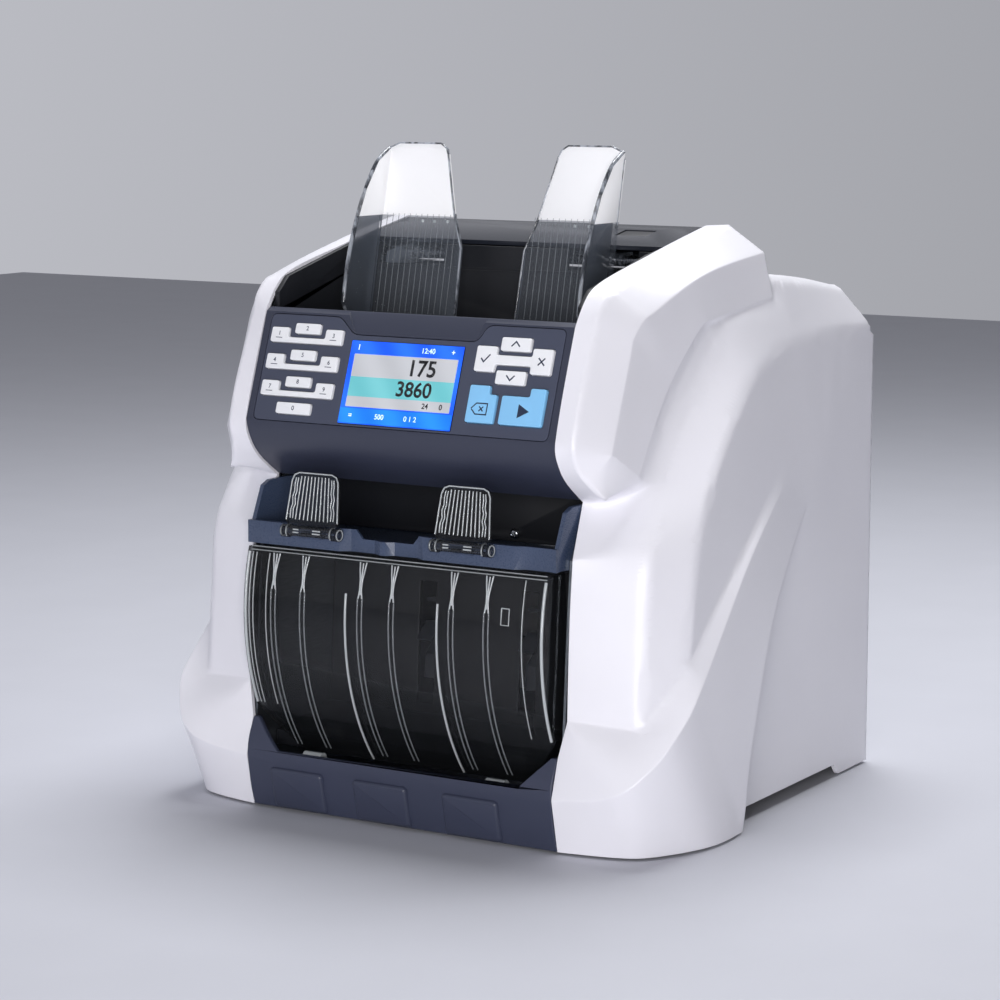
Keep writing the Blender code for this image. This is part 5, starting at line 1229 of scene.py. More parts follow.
signs["key_menu_pair"] = strokes([tick], menu_left, MENU_LINE * MM)
signs["key_menu_pair"] += strokes(cross, menu_right, MENU_LINE * MM)
up_arrow, down_arrow = [(-2.6, -1.2), (0, 1.5), (2.6, -1.2)], [(-2.6, 1.2), (0, -1.5), (2.6, 1.2)]
signs["key_up"] = strokes([up_arrow], right_middle, UP_LINE * MM)
signs["key_down"] = strokes([down_arrow], right_middle, DOWN_LINE * MM)
erase_middle, start_middle = 51.2 * MM, 78 * MM
tag = [(-5.2, 0), (-2.2, 3), (4.6, 3), (4.6, -3), (-2.2, -3), (-4.9, -0.3)]
small_cross = [[(-0.3, -1.3), (2.3, 1.3)], [(-0.3, 1.3), (0.98, 0.02)], [(1.02, -0.02), (2.3, -1.3)]]
signs["key_clear"] = strokes([tag, *small_cross], erase_middle, 14.4 * MM, 0.7)
signs["key_start"] = [moved([(-3, -3.8), (3.9, 0), (-3, 3.8)], start_middle, 14.6 * MM)]
for name, marks in signs.items():
    goes_with(print_sheet(name + "_print", marks, INK, SIGN_OUT), name)

# %% [markdown]
# ### The display
# Behind its window the display shows bars and large numbers. A lit screen gives off light of its
# own, so each field has a weak emission besides its colour, and a clear coat that mirrors the room.
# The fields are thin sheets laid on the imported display, and the numbers are other ones than those
# in the photograph. The blue bars grow lighter along a slanted band, as if light fell on them.


# %% Lit fields
def lit(name, colour, other, angle=0.0, glow=0.7):
    """A lit field of the display: two tones that change along a slanted line, a painted band of light
    falling on it.
    """
    made, tree, shader = blank(name, IOR=1.45, Roughness=0.4, Coat_Weight=0.15, Coat_Roughness=0.1,
                               Emission_Strength=glow)
    place = add(tree, "ShaderNodeTexCoord")
    turned = add(tree, "ShaderNodeMapping", {"Rotation": (0, angle, 0), "Scale": (14, 1, 14)},
                 {"Vector": (place, "Object")})
    slope = add(tree, "ShaderNodeTexWave", {"Scale": 1.0, "Distortion": 0.6, "Detail": 1},
                {"Vector": (turned, "Vector")})
    tone = add(tree, "ShaderNodeMix", {"A": linear(colour), "B": linear(other)},
               {"Factor": (slope, "Fac")}, data_type="RGBA")
    tree.links.new(tone.outputs["Result"], shader.inputs["Base Color"])
    tree.links.new(tone.outputs["Result"], shader.inputs["Emission Color"])
    return made


SCREEN_BLUE = lit("lit_blue_field", "#0b4fe6", "#1e66ee", 0.6, 0.6)
SCREEN_SKY = lit("lit_sky_field", "#0a6cd0", "#1c80da", 0.6, 0.6)
SCREEN_GREY = lit("lit_grey_field", "#b6b8bc", "#c0c2c6", 0.6, 0.28)
SCREEN_CYAN = lit("lit_cyan_field", "#66b8be", "#74c3c8", 0.6, 0.32)
SCREEN_INK = moulded("unlit_black_field", "#08090f", "#0c0e16", 0.3, depth=0.002)
SCREEN_PALE = lit("lit_pale_sign", "#bfe0ff", "#d8ecff", 0.6, 0.8)
print("lit fields:", [m.name for m in bpy.data.materials if m.name.startswith("lit_")])

# %% Lay the fields
SCREEN_OUT = 0.26 * MM
fields = {"top_bar": (SCREEN_BLUE, 1.3, 47.5, -38.3, 34.5),
          "count_field": (SCREEN_GREY, 27.6, 40.2, -35.2, 32.0),
          "value_field": (SCREEN_CYAN, 16.6, 27.6, -35.2, 32.0),
          "detail_field": (SCREEN_GREY, 10.8, 16.6, -35.2, 32.0),
          "foot_bar": (SCREEN_SKY, 1.9, 10.0, -38.0, 34.2)}
for k, (name, (finish, low, high, left, right)) in enumerate(fields.items()):
    outline = rounded(box_outline(left * MM, right * MM, low * MM, high * MM), 0.5 * MM)
    goes_with(print_sheet(name, [outline], finish, SCREEN_OUT + 0.03 * MM * (k > 0)),
              "display_screen")
numbers = [("175", 12.5 * MM, 10 * MM, 33.6 * MM), ("3860", 11.5 * MM, 7 * MM, 21.8 * MM),
           ("24", 4.2 * MM, 16 * MM, 13.6 * MM), ("0", 4.2 * MM, 26 * MM, 13.6 * MM)]
goes_with(print_sheet("display_numbers", numbers, SCREEN_INK, SCREEN_OUT + 0.07 * MM, 0.02),
          "display_screen")
small = [("1", 4.4 * MM, -33 * MM, 43.8 * MM), ("12:40", 4.0 * MM, 12 * MM, 43.8 * MM),
         ("+", 4.4 * MM, 28 * MM, 43.8 * MM), ("500", 4.0 * MM, -12 * MM, 5.9 * MM),
         ("0 1 2", 4.0 * MM, 8 * MM, 5.9 * MM), ("=", 4.4 * MM, -31 * MM, 5.9 * MM)]
goes_with(print_sheet("display_signs", small, SCREEN_PALE, SCREEN_OUT + 0.07 * MM),
          "display_screen")

# %% [markdown]
# ## Ribs, beads and slots by Geometry Nodes
# Clear parts are stiffened by rows of thin ribs, and the back has rows of vents. What repeats is
# made by a small node tree: one rib is drawn as a line with a round section, and it is set on a row
# of points. A second tree draws a bead along any path, for ribs that follow a curve. Each tree ends
# in Realize Instances and Set Material, and its result is kept as plain mesh.


# %% Node trees for ribs
ROW_ROUND = 0.3 * MM


def new_tree(name, inputs):
    """A node group that takes and gives geometry, with more named inputs and their kinds."""
    tree = bpy.data.node_groups.new(name, "GeometryNodeTree")
    tree.interface.new_socket("Geometry", in_out="INPUT", socket_type="NodeSocketGeometry")
    tree.interface.new_socket("Geometry", in_out="OUTPUT", socket_type="NodeSocketGeometry")
    for key, kind in inputs.items():
        tree.interface.new_socket(key, in_out="INPUT", socket_type="NodeSocket" + kind)
    return tree


def finish_tree(tree, source, output, finish):
    """The end of every tree: real geometry, smooth faces and the material."""
    real = add(tree, "GeometryNodeRealizeInstances", links={"Geometry": (source, output)})
    soft = add(tree, "GeometryNodeSetShadeSmooth", {"Shade Smooth": True},
               {"Geometry": (real, "Geometry")})
    painted = add(tree, "GeometryNodeSetMaterial", {"Material": finish},
                  {"Geometry": (soft, "Geometry")})
    add(tree, "NodeGroupOutput", links={"Geometry": (painted, "Geometry")})
    return tree


def row_tree(finish):
    """Ribs in a row: one from Start to End, repeated Count times at Pitch, Width across."""
    tree = new_tree("rib_row", {"Start": "Vector", "End": "Vector", "Pitch": "Vector",
                                "Count": "Int", "Width": "Float", "Height": "Float"})
    source = add(tree, "NodeGroupInput")
    line = add(tree, "GeometryNodeCurvePrimitiveLine",
               links={"Start": (source, "Start"), "End": (source, "End")})
    section = add(tree, "GeometryNodeCurvePrimitiveQuadrilateral",
                  links={"Width": (source, "Width"), "Height": (source, "Height")})
    rounder = add(tree, "GeometryNodeFilletCurve",
                  {"Radius": ROW_ROUND, "Count": 2, "Limit Radius": True},
                  {"Curve": (section, "Curve")}, mode="POLY")
    rib = add(tree, "GeometryNodeCurveToMesh", {"Fill Caps": True},
              {"Curve": (line, "Curve"), "Profile Curve": (rounder, "Curve")})
    places = add(tree, "GeometryNodeMeshLine",
                 links={"Count": (source, "Count"), "Offset": (source, "Pitch")})
    rows = add(tree, "GeometryNodeInstanceOnPoints",
               links={"Points": (places, "Mesh"), "Instance": (rib, "Mesh")})
    return finish_tree(tree, rows, "Instances", finish)


def bead_tree(finish):
    """A bead of round section along every path of the object's own mesh."""
    tree = new_tree("beads", {"Radius": "Float"})
    source = add(tree, "NodeGroupInput")
    paths = add(tree, "GeometryNodeMeshToCurve", links={"Mesh": (source, "Geometry")})
    section = add(tree, "GeometryNodeCurvePrimitiveCircle", {"Resolution": 10},
                  {"Radius": (source, "Radius")})
    bead = add(tree, "GeometryNodeCurveToMesh", {"Fill Caps": True},
               {"Curve": (paths, "Curve"), "Profile Curve": (section, "Curve")})
    return finish_tree(tree, bead, "Mesh", finish)


def grown_by(tree, name, points=(), edges=(), **inputs):
    """A plain mesh object grown by a tree whose named inputs get these values."""
    mesh = bpy.data.meshes.new(name)
    mesh.from_pydata([tuple(p) for p in points], list(edges), [])
    made = placed(name, mesh)
    change = made.modifiers.new("grow", "NODES")
    change.node_group = tree
    for item in tree.interface.items_tree:
        if item.in_out == "INPUT" and item.name in inputs:
            change[item.identifier] = inputs[item.name]
    result = plain_mesh(made)
    made.modifiers.clear()
    made.data = result
    work = bmesh.new()
    work.from_mesh(result)
    bmesh.ops.recalc_face_normals(work, faces=work.faces)
    work.to_mesh(result)
    work.free()
    return shaded(made, 50)


def beads(name, paths, radius, tree):
    """Beads along several paths of points."""
    points, edges = [], []
    for path in paths:
        edges += [(len(points) + k, len(points) + k + 1) for k in range(len(path) - 1)]
        points += path
    return grown_by(tree, name, points, edges, Radius=radius * MM)


RIB_ROW, RIB_BEADS = row_tree(RIB_ACRYLIC), bead_tree(RIB_ACRYLIC)
EDGE_BEADS, STREAK_BEADS = bead_tree(EDGE_ACRYLIC), bead_tree(GUIDE_EDGE)
print("node trees:", [tree.name for tree in bpy.data.node_groups])

# %% [markdown]
# ## Hopper, deck and guides
# The hopper is a plain tray with a slope. Behind it lies the deck lid, polished, with a latch let
# into it. The guides stand on a rail and lean back. Each is one clear moulding whose upper part is
# frosted, so its face is cut in two at the deck's height, and the two parts get two finishes. The
# rest of it, the edges and the flange, gets a third one with painted dark and bright streaks, the
# refracted light and shade that one sees looking along the wall there, through a lot of plastic.

# %% Hopper and deck
# The hopper tray is painted nearly black with the shade inside the hopper
stands_for(from_node("hopper_tray", "hopper", SHADED_POCKET_ABS, 0.4), "hopper_tray", slot="navy_housing")
stands_for(from_node("deck_lid", "deck", DECK_ABS, 0.8, 3), "deck_lid", slot="gloss_deck")
stands_for(from_node("lid_latch", "deck_latch", BLACK_NYLON, 0.5, 3), "lid_latch")

# %% Hopper guides
GUIDE_LEAN = math.radians(12.3)
GUIDE_WIDTH = 58 * MM
GUIDE_KNEE = DECK - 11 * MM
GUIDE_REAR = ahead(124)
FROST_FROM = DECK + 3.5 * MM
FLAT_FACE = 0.96
BROAD_FACE = 12 * MM * MM
GUIDE_RIBS, GUIDE_RIB_PITCH = 13, 3.9 * MM


def guide_y(height):
    """Where the leaning face of a hopper guide is, at a height."""
    return ahead(105) + (height - GUIDE_KNEE) * math.tan(GUIDE_LEAN)


def hopper_guide(node, name):
    """A guide in three finishes: frosted above the deck, clear below, and dark with painted streaks of
    refracted light along its edges.
    """
    made = from_node(node, name, GUIDE_CLEAR, 0.45)
    work = bmesh.new()
    work.from_mesh(made.data)
    bmesh.ops.bisect_plane(work, geom=[*work.verts, *work.edges, *work.faces],
                           plane_co=(0, 0, FROST_FROM), plane_no=(0, 0, 1))
    work.to_mesh(made.data)
    work.free()
    made.data.materials.append(GUIDE_FROST)
    made.data.materials.append(GUIDE_EDGE)
    lean = Vector((0, math.cos(GUIDE_LEAN), -math.sin(GUIDE_LEAN)))
    for face in made.data.polygons:
        flat = max(abs(face.normal.dot(lean)), abs(face.normal.x)) > FLAT_FACE
        high = face.center.z > FROST_FROM and face.center.y < GUIDE_REAR
        if flat and face.area > BROAD_FACE:
            face.material_index = 1 if high else 0
        else:
            face.material_index = 2
    return shaded(made, 35)


def guide_edges(node, side):
    """Paths along the flange's front edge and round the plate."""
    outer = max(abs(corner[0]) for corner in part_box(node)) - 0.3 * MM
    inner = outer - GUIDE_WIDTH
    tip = GUIDE_TOP - 3 * MM
    front = eased([yz(69.6, LIP, 1), yz(73, LIP, 19), yz(80.5, DECK, -4), yz(92.5, DECK, 19),
                   yz(104.5, DECK, 34), (guide_y(tip) + 0.6 * MM, tip)])
    flange = [Vector((side * (outer - 0.95 * MM), y, z)) for y, z in front]
    plate = [(outer, DECK), (outer, tip - 4 * MM), (outer - 2 * MM, GUIDE_TOP - 2.5 * MM),
             (outer - 8 * MM, GUIDE_TOP), (inner + 22 * MM, GUIDE_TOP),
             (inner + 18 * MM, GUIDE_TOP - 2.5 * MM), (inner + 16.5 * MM, GUIDE_TOP - 6 * MM),
             (inner + 8 * MM, DECK + 5 * MM), (inner + 1 * MM, DECK - 14 * MM),
             (inner, LIP - 6 * MM)]
    return flange, [Vector((side * x, guide_y(z) + 0.3 * MM, z)) for x, z in plate]


def bracket(node, side):
    """The small clear bracket on the rail, as an outline with three bright pads."""
    outer = max(abs(corner[0]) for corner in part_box(node))
    near, far = side * (outer - 34 * MM), side * (outer - 15 * MM)
    level = DECK + 0.3 * MM
    top = level + 3.6 * MM
    frame_path = [(near, level), (near, top), (far, top), (far, level)]
    pads = []
    for inset in (36, 27, 19):
        x = side * (outer - inset * MM)
        pads.append([Vector((x, GUIDE_REAR, level)), Vector((x, GUIDE_REAR, level - 1.6 * MM))])
    return [Vector((x, GUIDE_REAR + 0.4 * MM, z)) for x, z in frame_path], pads


for side, word in ((-1, "left"), (1, "right")):
    node = f"hopper_guide_{word}"
    stands_for(hopper_guide(node, f"clear_guide_{word}"), node, slot="clear_acrylic")
    low, high = LIP - 6 * MM, FROST_FROM + 1 * MM
    near = side * 26 * MM
    start = Vector((near, guide_y(low) - 0.1 * MM, low))
    end = Vector((near, guide_y(high) - 0.1 * MM, high))
    ribs = grown_by(RIB_ROW, f"guide_ribs_{word}", Start=start, End=end,
                    Pitch=(side * GUIDE_RIB_PITCH, 0, 0), Count=GUIDE_RIBS, Width=0.35 * MM,
                    Height=0.5 * MM)
    flange, plate = guide_edges(node, side)
    frame_path, pads = bracket(node, side)
    goes_with(ribs, node)
    for part, paths, radius, tree in (("flange_edge", [flange], 1.25, STREAK_BEADS),
                                      ("plate_edge", [plate], 0.6, STREAK_BEADS),
                                      ("bracket", [frame_path], 0.3, RIB_BEADS),
                                      ("pads", pads, 0.9, EDGE_BEADS)):
        goes_with(beads(f"guide_{part}_{word}", paths, radius, tree), node)

# %% [markdown]
# ## The reject pocket
# A blue-grey rail closes the pocket in front, and two clear flaps lean on it. A flap is a thin
# plate that tapers towards its round shoulders, with a hinge pin between two round ears and a bent
# cover in front of the pin. Clear plastic shows every corner, so the flap is made anew where the
# packed one is, from a few swept outlines joined to one mesh. Its ribs, and the painted highlights
# that run as bright lines along its rim, ears and cover, are beads, grown by a node tree.

# %% Rail, back plate and screw
RAIL_FACE = ahead(8)
RAIL_STEP = 2.6 * MM
RAIL_STEPS = [(-38, -31.5, -16, -11), (-7.5, -3, 12, 17), (74.5, 80.5, 96, 104)]
SCREW_HEAD = [(1.5, 0.0), (2.5, 0.45), (3.0, 1.2), (3.0, 1.8), (1.5, 1.8), (1.5, 8.6)]
SCREW_SIDES = 28


def reject_rail():
    """The tray with its rail, whose front steps back a little between the flaps."""
    made = from_node("reject_tray", "reject_rail", RAIL_ABS, 0.9, 3)
    cutters = []
    for places in RAIL_STEPS:
        out, back = RAIL_FACE - 2 * MM, RAIL_FACE + RAIL_STEP
        start, flat, end, stop = (u * MM for u in places)
        run_out = (start - 4.6 * MM, out), (stop + 4 * MM, out)
        shape = [run_out[0], (start, RAIL_FACE), (flat, back), (end, back), (stop, RAIL_FACE),
                 run_out[1]]
        levels = [[(x, y, z) for x, y in shape] for z in (RIM - 2 * MM, RIM + 16 * MM)]
        cutters.append(loft("step", levels, RAIL_ABS))
    return shaded(joined(made, cutters, "DIFFERENCE"), 28)


def cross_screw():
    """A pan head with a cross recess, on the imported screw's axis."""
    low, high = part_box("pocket_screw")
    x, z, near = (low[0] + high[0]) / 2, (low[2] + high[2]) / 2, low[1]
    turns = [math.tau * k / SCREW_SIDES for k in range(SCREW_SIDES)]
    loops = [[(x + radius * MM * math.cos(a), near + back * MM, z + radius * MM * math.sin(a))
              for a in turns] for radius, back in SCREW_HEAD]
    made = loft("cross_screw", loops, SHAFT_STEEL)
    bars = []
    for turn in (0.5, 0.5 + math.pi / 2):
        across = Vector((math.cos(turn), 0, math.sin(turn)))
        up = Vector((-math.sin(turn), 0, math.cos(turn)))
        corners = [across * u * MM + up * v * MM for u, v in box_outline(-1.7, 1.7, -0.35, 0.35)]
        loops = [[Vector((x, near + back * MM, z)) + c for c in corners] for back in (-0.5, 0.9)]
        bars.append(loft("bar", loops, SHAFT_STEEL))
    return shaded(joined(made, bars, "DIFFERENCE"), 40)


stands_for(reject_rail(), "reject_tray", slot="blue_grey_rail")
# The reject pocket's back plate is painted nearly black with the pocket's shade
stands_for(from_node("reject_back_plate", "reject_back", SHADED_POCKET_ABS, 0.4), "reject_back_plate",
           slot="slate_moulding")
stands_for(cross_screw(), "pocket_screw", slot="steel_shaft")

# %% Flaps
STOP_Y, STOP_Z = ahead(3.9), RIM + 11 * MM
STOP_LEAN = math.radians(10)
FLAP_LOW, FLAP_HIGH, FLAP_TOP = 17.9, 14.9, 33
EAR_INNER, EAR_OUTER = 14.4 * MM, 18.9 * MM
EAR_RADIUS, PIN_RADIUS, COVER_RADIUS = 3.6, 1.4, 4.1


def on_stop(x, rise, out=0.0):
    """A point on a flap: up its leaning plate, and out of it."""
    y = STOP_Y + (rise * math.sin(STOP_LEAN) - out * math.cos(STOP_LEAN)) * MM
    return Vector((x, y, STOP_Z + (rise * math.cos(STOP_LEAN) + out * math.sin(STOP_LEAN)) * MM))


def flap_arc(radius, first, last, steps=14):
    """(y, z) pairs on an arc round the flap's axis, in degrees from straight up and forward."""
    angles = [math.radians(first + (last - first) * k / steps) for k in range(steps + 1)]
    return [(STOP_Y - radius * MM * math.sin(a), STOP_Z + radius * MM * math.cos(a)) for a in angles]


def flap(name, x):
    """A tapered plate with round shoulders, an ear at each end, and a thin cover in front."""
    outline = rounded([(-FLAP_LOW, EAR_RADIUS), (FLAP_LOW, EAR_RADIUS), (FLAP_HIGH, FLAP_TOP),
                       (-FLAP_HIGH, FLAP_TOP)], 4.5, 6)
    made = loft(name, [[on_stop(x + u * MM, v, out) for u, v in outline] for out in (-0.9, 0.9)],
                DOOR_ACRYLIC)
    ear = flap_arc(EAR_RADIUS, 0, 346, 26)
    pin = flap_arc(PIN_RADIUS, 0, 340, 17)
    cover = flap_arc(COVER_RADIUS, -6, 120) + flap_arc(COVER_RADIUS - 0.7, -6, 120)[::-1]
    parts = [swept_x("ear", ear, x + side * EAR_INNER, x + side * EAR_OUTER, DOOR_ACRYLIC)
             for side in (-1, 1)]
    left, right = x - EAR_INNER - 1 * MM, x + EAR_INNER + 1 * MM
    parts += [swept_x(part, section, left, right, DOOR_ACRYLIC)
              for part, section in (("pin", pin), ("cover", cover))]
    return softened(joined(made, parts), 0.25, 2, 40)


def flap_lines(x):
    """Painted highlights of a flap as bright lines: along its rim, round its ears, and two short pairs
    in front of its cover.
    """
    rim = [(-FLAP_LOW + 0.8, 6), (-FLAP_HIGH - 0.4, 28), (-FLAP_HIGH + 1, 31), (-FLAP_HIGH + 4, 32.3),
           (FLAP_HIGH - 4, 32.3), (FLAP_HIGH - 1, 31), (FLAP_HIGH + 0.4, 28), (FLAP_LOW - 0.8, 6)]
    paths = [[on_stop(x + u * MM, v, 0.8) for u, v in rim]]
    ring, hem = flap_arc(2.9, 0, 360, 20), flap_arc(3.7, -20, 130)
    for side in (-1, 1):
        paths.append([Vector((x + side * (EAR_OUTER - 0.2 * MM), y, z)) for y, z in ring])
        paths.append([Vector((x + side * (EAR_INNER + 0.2 * MM), y, z)) for y, z in hem])
    # two short pairs of painted highlights in front of the cover
    for left, right in ((-9.5, -6), (3.5, 8.5)):
        paths += [[on_stop(x + u * MM, rise, 4) for u in (left, right)] for rise in (1.0, -0.6)]
    return paths


def flap_ribs(x):
    """Upright ribs that close in towards the top, and a wavy pair near each edge."""
    paths = []
    for k in range(9):
        u = -10.8 + 2.7 * k
        paths.append([on_stop(x + u * MM, 6.5, 1.0), on_stop(x + 0.84 * u * MM, 30.5, 1.0)])
    wave = [(7, 0), (12, 0.5), (15, -0.3), (19, 0.6), (22, -0.2), (26, 0.3), (29.5, 0)]
    for side, u in ((-1, 13.2), (-1, 15.0), (1, 13.2), (1, 15.0)):
        paths.append([on_stop(x + side * ((u + sway) * (1 - 0.0056 * rise)) * MM, rise, 1.0)
                      for rise, sway in wave])
    return paths


for word in ("left", "right"):
    node = f"reject_stop_{word}"
    low_corner, high_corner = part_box(node)
    x = (low_corner[0] + high_corner[0]) / 2
    stands_for(flap(f"flap_{word}", x), node, slot="clear_acrylic")
    # the flap's lines are painted highlights
    for part, paths, radius in (("ribs", flap_ribs(x), 0.36), ("lines", flap_lines(x), 0.42)):
        goes_with(beads(f"flap_{part}_{word}", paths, radius, EDGE_BEADS), node)

# %% [markdown]
# ## The clear door
# The door is bent to an arc round the pocket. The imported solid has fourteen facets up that
# arc, which clear plastic would show as steps in its highlights, so the door is swept again with
# four times as many. Its ribs are pairs of fine lines that fork near the rim. They are beads along
# paths on the same arc.

# %% The door's arc
DOOR_RADIUS = 129 * MM
DOOR_Y, DOOR_Z = FRONT + DOOR_RADIUS, RIM - 38 * MM
DOOR_HALF = BAY - 2.5 * MM
DOOR_LOW = KICK - 20 * MM
DOOR_WALL = 2.4 * MM
DOOR_NOTCH = KICK + 9.2 * MM


def door_arc(radius, low, high, steps=56):
    """(y, z) pairs up an arc about the door's centre, between two heights."""
    first, last = (math.asin((z - DOOR_Z) / radius) for z in (low, high))
    angles = [first + (last - first) * k / steps for k in range(steps + 1)]
    return [(DOOR_Y - radius * math.cos(a), DOOR_Z + radius * math.sin(a)) for a in angles]


def on_door(x, z, out=0.0):
    """A point on the outside of the door."""
    radius = DOOR_RADIUS + out * MM
    return Vector((x, DOOR_Y - math.sqrt(radius ** 2 - (z - DOOR_Z) ** 2), z))


def clear_door():
    """The bent wall with its sides and its rim, and the cut lower corners."""
    wall = band(door_arc(DOOR_RADIUS, DOOR_LOW, RIM), DOOR_WALL)
    made = swept_x("clear_door", wall, -DOOR_HALF, DOOR_HALF, DOOR_ACRYLIC)
    side = door_arc(DOOR_RADIUS - 0.3 * MM, KICK + 9 * MM, RIM - 0.4 * MM)
    side += [yz(26, RIM, -0.4), yz(29, RIM, -30), yz(30, KICK, 38), yz(29, KICK, 9)]
    parts = [swept_x("side", side, s * (DOOR_HALF - DOOR_WALL), s * DOOR_HALF, WALL_ACRYLIC)
             for s in (-1, 1)]
    rim = [yz(6.2, RIM), yz(14, RIM), yz(14, RIM, -2), yz(7, RIM, -2)]
    parts.append(swept_x("rim", rim, 0.2 * MM - DOOR_HALF, DOOR_HALF - 0.2 * MM, EDGE_ACRYLIC))
    joined(made, parts)
    corners = []
    for s in (-1, 1):
        inner, outer, low = DOOR_HALF - 22.5 * MM, DOOR_HALF + 12.5 * MM, KICK - 30 * MM
        cut = [(inner, KICK - 21 * MM), (DOOR_HALF + 1 * MM, DOOR_NOTCH), (outer, DOOR_NOTCH),
               (outer, low), (inner, low)]
        cut = [(s * x, z) for x, z in cut]
        corners.append(swept_y("corner", cut, ahead(-5), ahead(60), DOOR_ACRYLIC))
    joined(made, corners, "DIFFERENCE")
    return softened(made, 0.4, 2, 40)


stands_for(clear_door(), "stacker_cover", slot="clear_acrylic")

# %% The door's ribs and bright edges
FORK_SHARES = (-0.795, -0.593, -0.2, 0.012, 0.406, 0.633)
SINGLE_SHARES = (-0.297, 0.315)
fork_paths, pair_paths, single_paths = [], [], []
for share in FORK_SHARES:
    x = share * DOOR_HALF
    for side in (-1, 1):
        heights = np.linspace(DOOR_LOW + 4 * MM, RIM - 22 * MM, 26)
        pair_paths.append([on_door(x + side * 1.5 * MM, z, -0.1) for z in heights])
        fork_paths.append([on_door(x + side * spread * MM, RIM - drop * MM, -0.1)
                           for spread, drop in ((1.2, 22), (0.5, 17), (0.7, 12), (1.5, 7), (2.1, 2.5))])
    fork_paths.append([on_door(x, RIM - drop * MM, -0.2) for drop in (20, 10, 3)])
for share in SINGLE_SHARES:
    heights = np.linspace(DOOR_LOW + 1 * MM, RIM - 20 * MM, 26)
    single_paths.append([on_door(share * DOOR_HALF, z, -0.2) for z in heights])
fine_paths, broad_paths = [], []
for side, insets in ((-1, (1.2, 3.6, 6.2, 15)), (1, (1.2, 13.5))):
    heights = np.linspace(KICK + 9 * MM, RIM - 3 * MM, 30)
    for k, inset in enumerate(insets):
        path = [on_door(side * (DOOR_HALF - inset * MM), z, -0.3) for z in heights]
        (broad_paths if k == 0 else fine_paths).append(path)
rim_end = DOOR_HALF - 1.5 * MM
for back, drop in ((6.8, 0.1), (6.4, 2.0)):
    fine_paths.append([Vector((s * rim_end, ahead(back), RIM - drop * MM)) for s in (-1, 1)])
window = [(71.1, 131.6), (75.9, 131.6), (75.9, 122.8), (71.1, 122.8), (71.1, 131.6)]
fine_paths.append([on_door(x * MM, z * MM, 0.1) for x, z in window])
lug_paths = []
for s in (-1, 1):
    lug_paths.append([Vector((s * 60 * MM + u * MM, ahead(14), DOOR_LOW)) for u in (-6, 6)])
for name, paths, radius, tree in (("door_forks", fork_paths, 0.45, EDGE_BEADS),
                                  ("door_pairs", pair_paths, 0.4, RIB_BEADS),
                                  ("door_ribs", single_paths, 0.7, EDGE_BEADS),
                                  ("door_rim_lines", fine_paths, 0.36, EDGE_BEADS),
                                  ("door_edges", broad_paths, 0.9, EDGE_BEADS),
                                  ("door_lugs", lug_paths, 3.6, EDGE_BEADS)):
    goes_with(beads(name, paths, radius, tree), "stacker_cover")

# %% [markdown]
# ## The kick plate
# The slate plate below the door bulges a little and is dished out in the middle for the door. Three
# raised pads break up its face. Its section is swept like the console's, with a smooth curve for
# the bulge, and the pads get the same curve a little further out.

# %% The kick plate
PAD_LEVELS = ((0, -0.6), (0, 0.2), (0.7, 1.5), (1.4, 2.1), (2.4, 2.3))
PAD_TOP = KICK - 26 * MM
PAD_SHARES, PAD_SPAN = (-0.84, -0.28, 0.305), 0.36


def kick_line(out=0.0):
    """The plate's face from the table up, moved out by some millimetres."""
    places = [(11, LIFT), (7.6, 12 * MM), (5.2, PAD_TOP), (4.6, KICK - 20 * MM),
              (5.4, KICK - 13 * MM), (11, KICK)]
    return eased([(ahead(b - out), z) for b, z in places])


def kick_plate():
    """The face plate with its dish for the door."""
    face = kick_line()
    made = swept_x("kick_panel", face + kick_line(-3)[::-1], -INSIDE, INSIDE, SLATE_ABS)
    wide, narrow = BAY - 3 * MM, BAY - 21 * MM
    low, edge, high = KICK - 16.8 * MM, KICK + 1 * MM, KICK + 20 * MM
    dish = [(-wide, edge), (-narrow, low), (narrow, low), (wide, edge), (wide, high), (-wide, high)]
    joined(made, [swept_y("dish", dish, ahead(-5), ahead(30), SLATE_ABS)], "DIFFERENCE")
    return softened(made, 0.7, 3, 40)


def pad(name, left, right):
    """A raised pad with round corners, bent like the plate: each level is drawn in and out."""
    outline = rounded(box_outline(left, right, LIFT + 0.6 * MM, PAD_TOP), 3 * MM, 6)
    ys, zs = zip(*kick_line())
    loops = [[(u, float(np.interp(z, zs, ys)) - out * MM, z) for u, z in grown(outline, -inset * MM)]
             for inset, out in PAD_LEVELS]
    return shaded(loft(name, loops, SLATE_ABS), 50)


stands_for(kick_plate(), "kick_plate", slot="slate_moulding")
for number, share in enumerate(PAD_SHARES, start=1):
    raised = pad(f"kick_pad_{number}", share * BAY, (share + PAD_SPAN) * BAY)
    goes_with(raised, "kick_plate")

# %% [markdown]
# ## The back
# The back cover is a white moulding that follows the hump and drops straight down. Rows of vents
# let the motor's heat out, and the mains inlet, its switch and a data port sit below. Nobody sees
# the back in the photograph, but it is made as such machines have it.

# %% Back cover with vents
VENT_ROWS, VENT_PITCH = 8, 9 * MM
VENT_INNER, VENT_OUTER = 20 * MM, 80 * MM
VENT_LOW = KICK + 71.5 * MM
INLET_HALF, INLET_RISE = 13.8 * MM, 24.3 * MM
SLOTS = row_tree(WHITE_ABS)


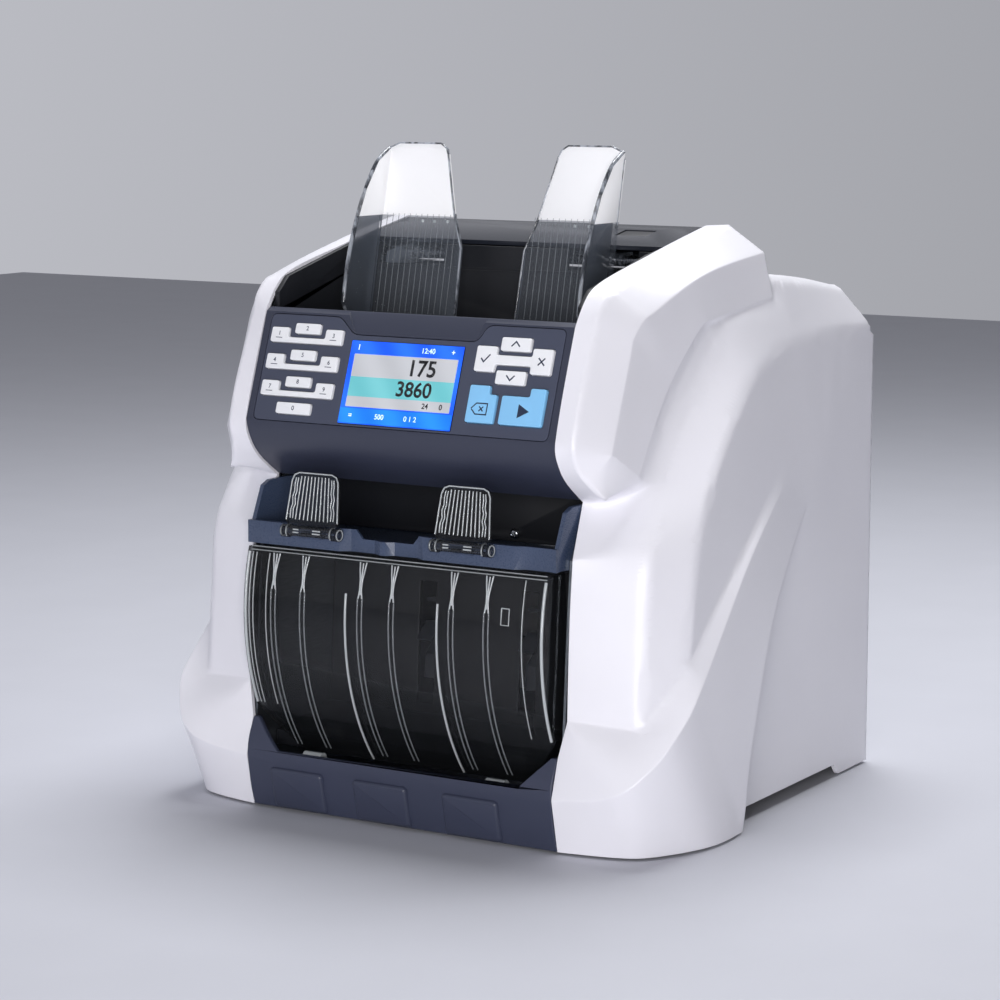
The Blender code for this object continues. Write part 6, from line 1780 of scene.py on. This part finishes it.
def back_cover():
    """The cover with its vents and the windows of inlet and port."""
    hump = eased([(astern(108.7), HUMP - 0.2 * MM), (astern(62.6), HUMP - 4.4 * MM),
                  (astern(25.5), HUMP - 10.6 * MM)], 3 * MM)
    line = hump + [(astern(0), HUMP - 36 * MM), (astern(0), 8 * MM)]
    made = swept_x("back_cover", band(line, 3 * MM), -INSIDE, INSIDE, WHITE_ABS)
    cutters = []
    for side in (-1, 1):
        start = Vector((side * VENT_INNER, astern(1.5), VENT_LOW))
        end = Vector((side * VENT_OUTER, astern(1.5), VENT_LOW))
        cutters.append(grown_by(SLOTS, "vents", Start=start, End=end, Pitch=(0, 0, VENT_PITCH),
                                Count=VENT_ROWS, Width=13 * MM, Height=3 * MM))
    low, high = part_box("power_inlet")
    middle, level = (low[0] + high[0]) / 2, (low[2] + high[2]) / 2
    windows = [box_outline(middle - INLET_HALF, middle + INLET_HALF,
                           level - INLET_RISE, level + INLET_RISE)]
    low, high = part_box("data_port")
    windows.append(box_outline(low[0] - GAP, high[0] + GAP, low[2] - GAP, high[2] + GAP))
    cutters += [swept_y("window", window, astern(8), astern(-5), WHITE_ABS) for window in windows]
    joined(made, cutters, "DIFFERENCE")
    return softened(made, 0.4, 2, 40)


stands_for(back_cover(), "rear_cover", slot="white_shell")

# %% [markdown]
# ## Everything else
# The remaining solids are right in shape. Some get rounded copies, as they can be seen from the
# back or from above, and the others keep their mesh and get a finish in their material slots.

# %% Rounded copies
COPIES = {"power_inlet": ("mains_inlet", BLACK_NYLON, 0.5),
          "power_switch": ("switch_rocker", BLACK_NYLON, 0.6),
          "data_port": ("port_shell", PORT_NICKEL, 0.3),
          "base_tray": ("base_plate", ZINC_SHEET, 0.3),
          # The stacker pocket's floor and back are painted nearly black with the pocket's shade
          "stacker_floor": ("pocket_floor", SHADED_POCKET_ABS, 0.4),
          "stacker_back": ("pocket_back", SHADED_POCKET_ABS, 0.4),
          "drive_motor": ("motor_can", MOTOR_CAN, 0.8),
          "main_board": ("control_board", BOARD_GREEN, 0.2)}
for node, (name, finish, width) in COPIES.items():
    stands_for(from_node(node, name, finish, width), node)

# %% Finishes for the solids that stay
KEPT = ((ZINC_SHEET, ("left_frame_plate", "right_frame_plate")),
        (SHAFT_STEEL, ("guide_rail", "lid_hinge_pin", "cover_hinge_pin", "feed_shaft",
                       "stacker_shaft")),
        (FEED_RUBBER, ("feed_roller_left", "feed_roller_right", "retard_roller")),
        (WHEEL_NYLON, ("stacker_wheel_left", "stacker_wheel_right")),
        (ACETAL, ("guide_pinion", "feed_pulley", "motor_pulley", "stacker_pulley")),
        (FOOT_RUBBER, ("drive_belt", "rubber_foot_1", "rubber_foot_2", "rubber_foot_3",
                       "rubber_foot_4")),
        (BOARD_GREEN, ("keypad_board",)),
        (SCREEN_INK, ("display_screen",)))
for finish, nodes in KEPT:
    for node in nodes:
        for material_slot in frame["nodes"][node].material_slots:
            material_slot.material = finish
shown = {name for name, node in frame["nodes"].items() if not node.hide_render}
print("solids still shown:", len(shown), "without a finish:",
      sorted(shown - {node for _, nodes in KEPT for node in nodes}))

# %% [markdown]
# ## Floor
# A plain pale floor.

# %% Floor
FLOOR_HALF = 3.0
FLOOR_PAINT = moulded("pale_matt_floor", "#cdced6", "#c8c9d1", 0.7, grain=3)
corners = [(x, y, 0) for x, y in box_outline(-FLOOR_HALF, FLOOR_HALF, -FLOOR_HALF, FLOOR_HALF)]
floor = piece("floor", corners, [[0, 1, 2, 3]], FLOOR_PAINT)
print("floor:", 2 * FLOOR_HALF, "m wide")
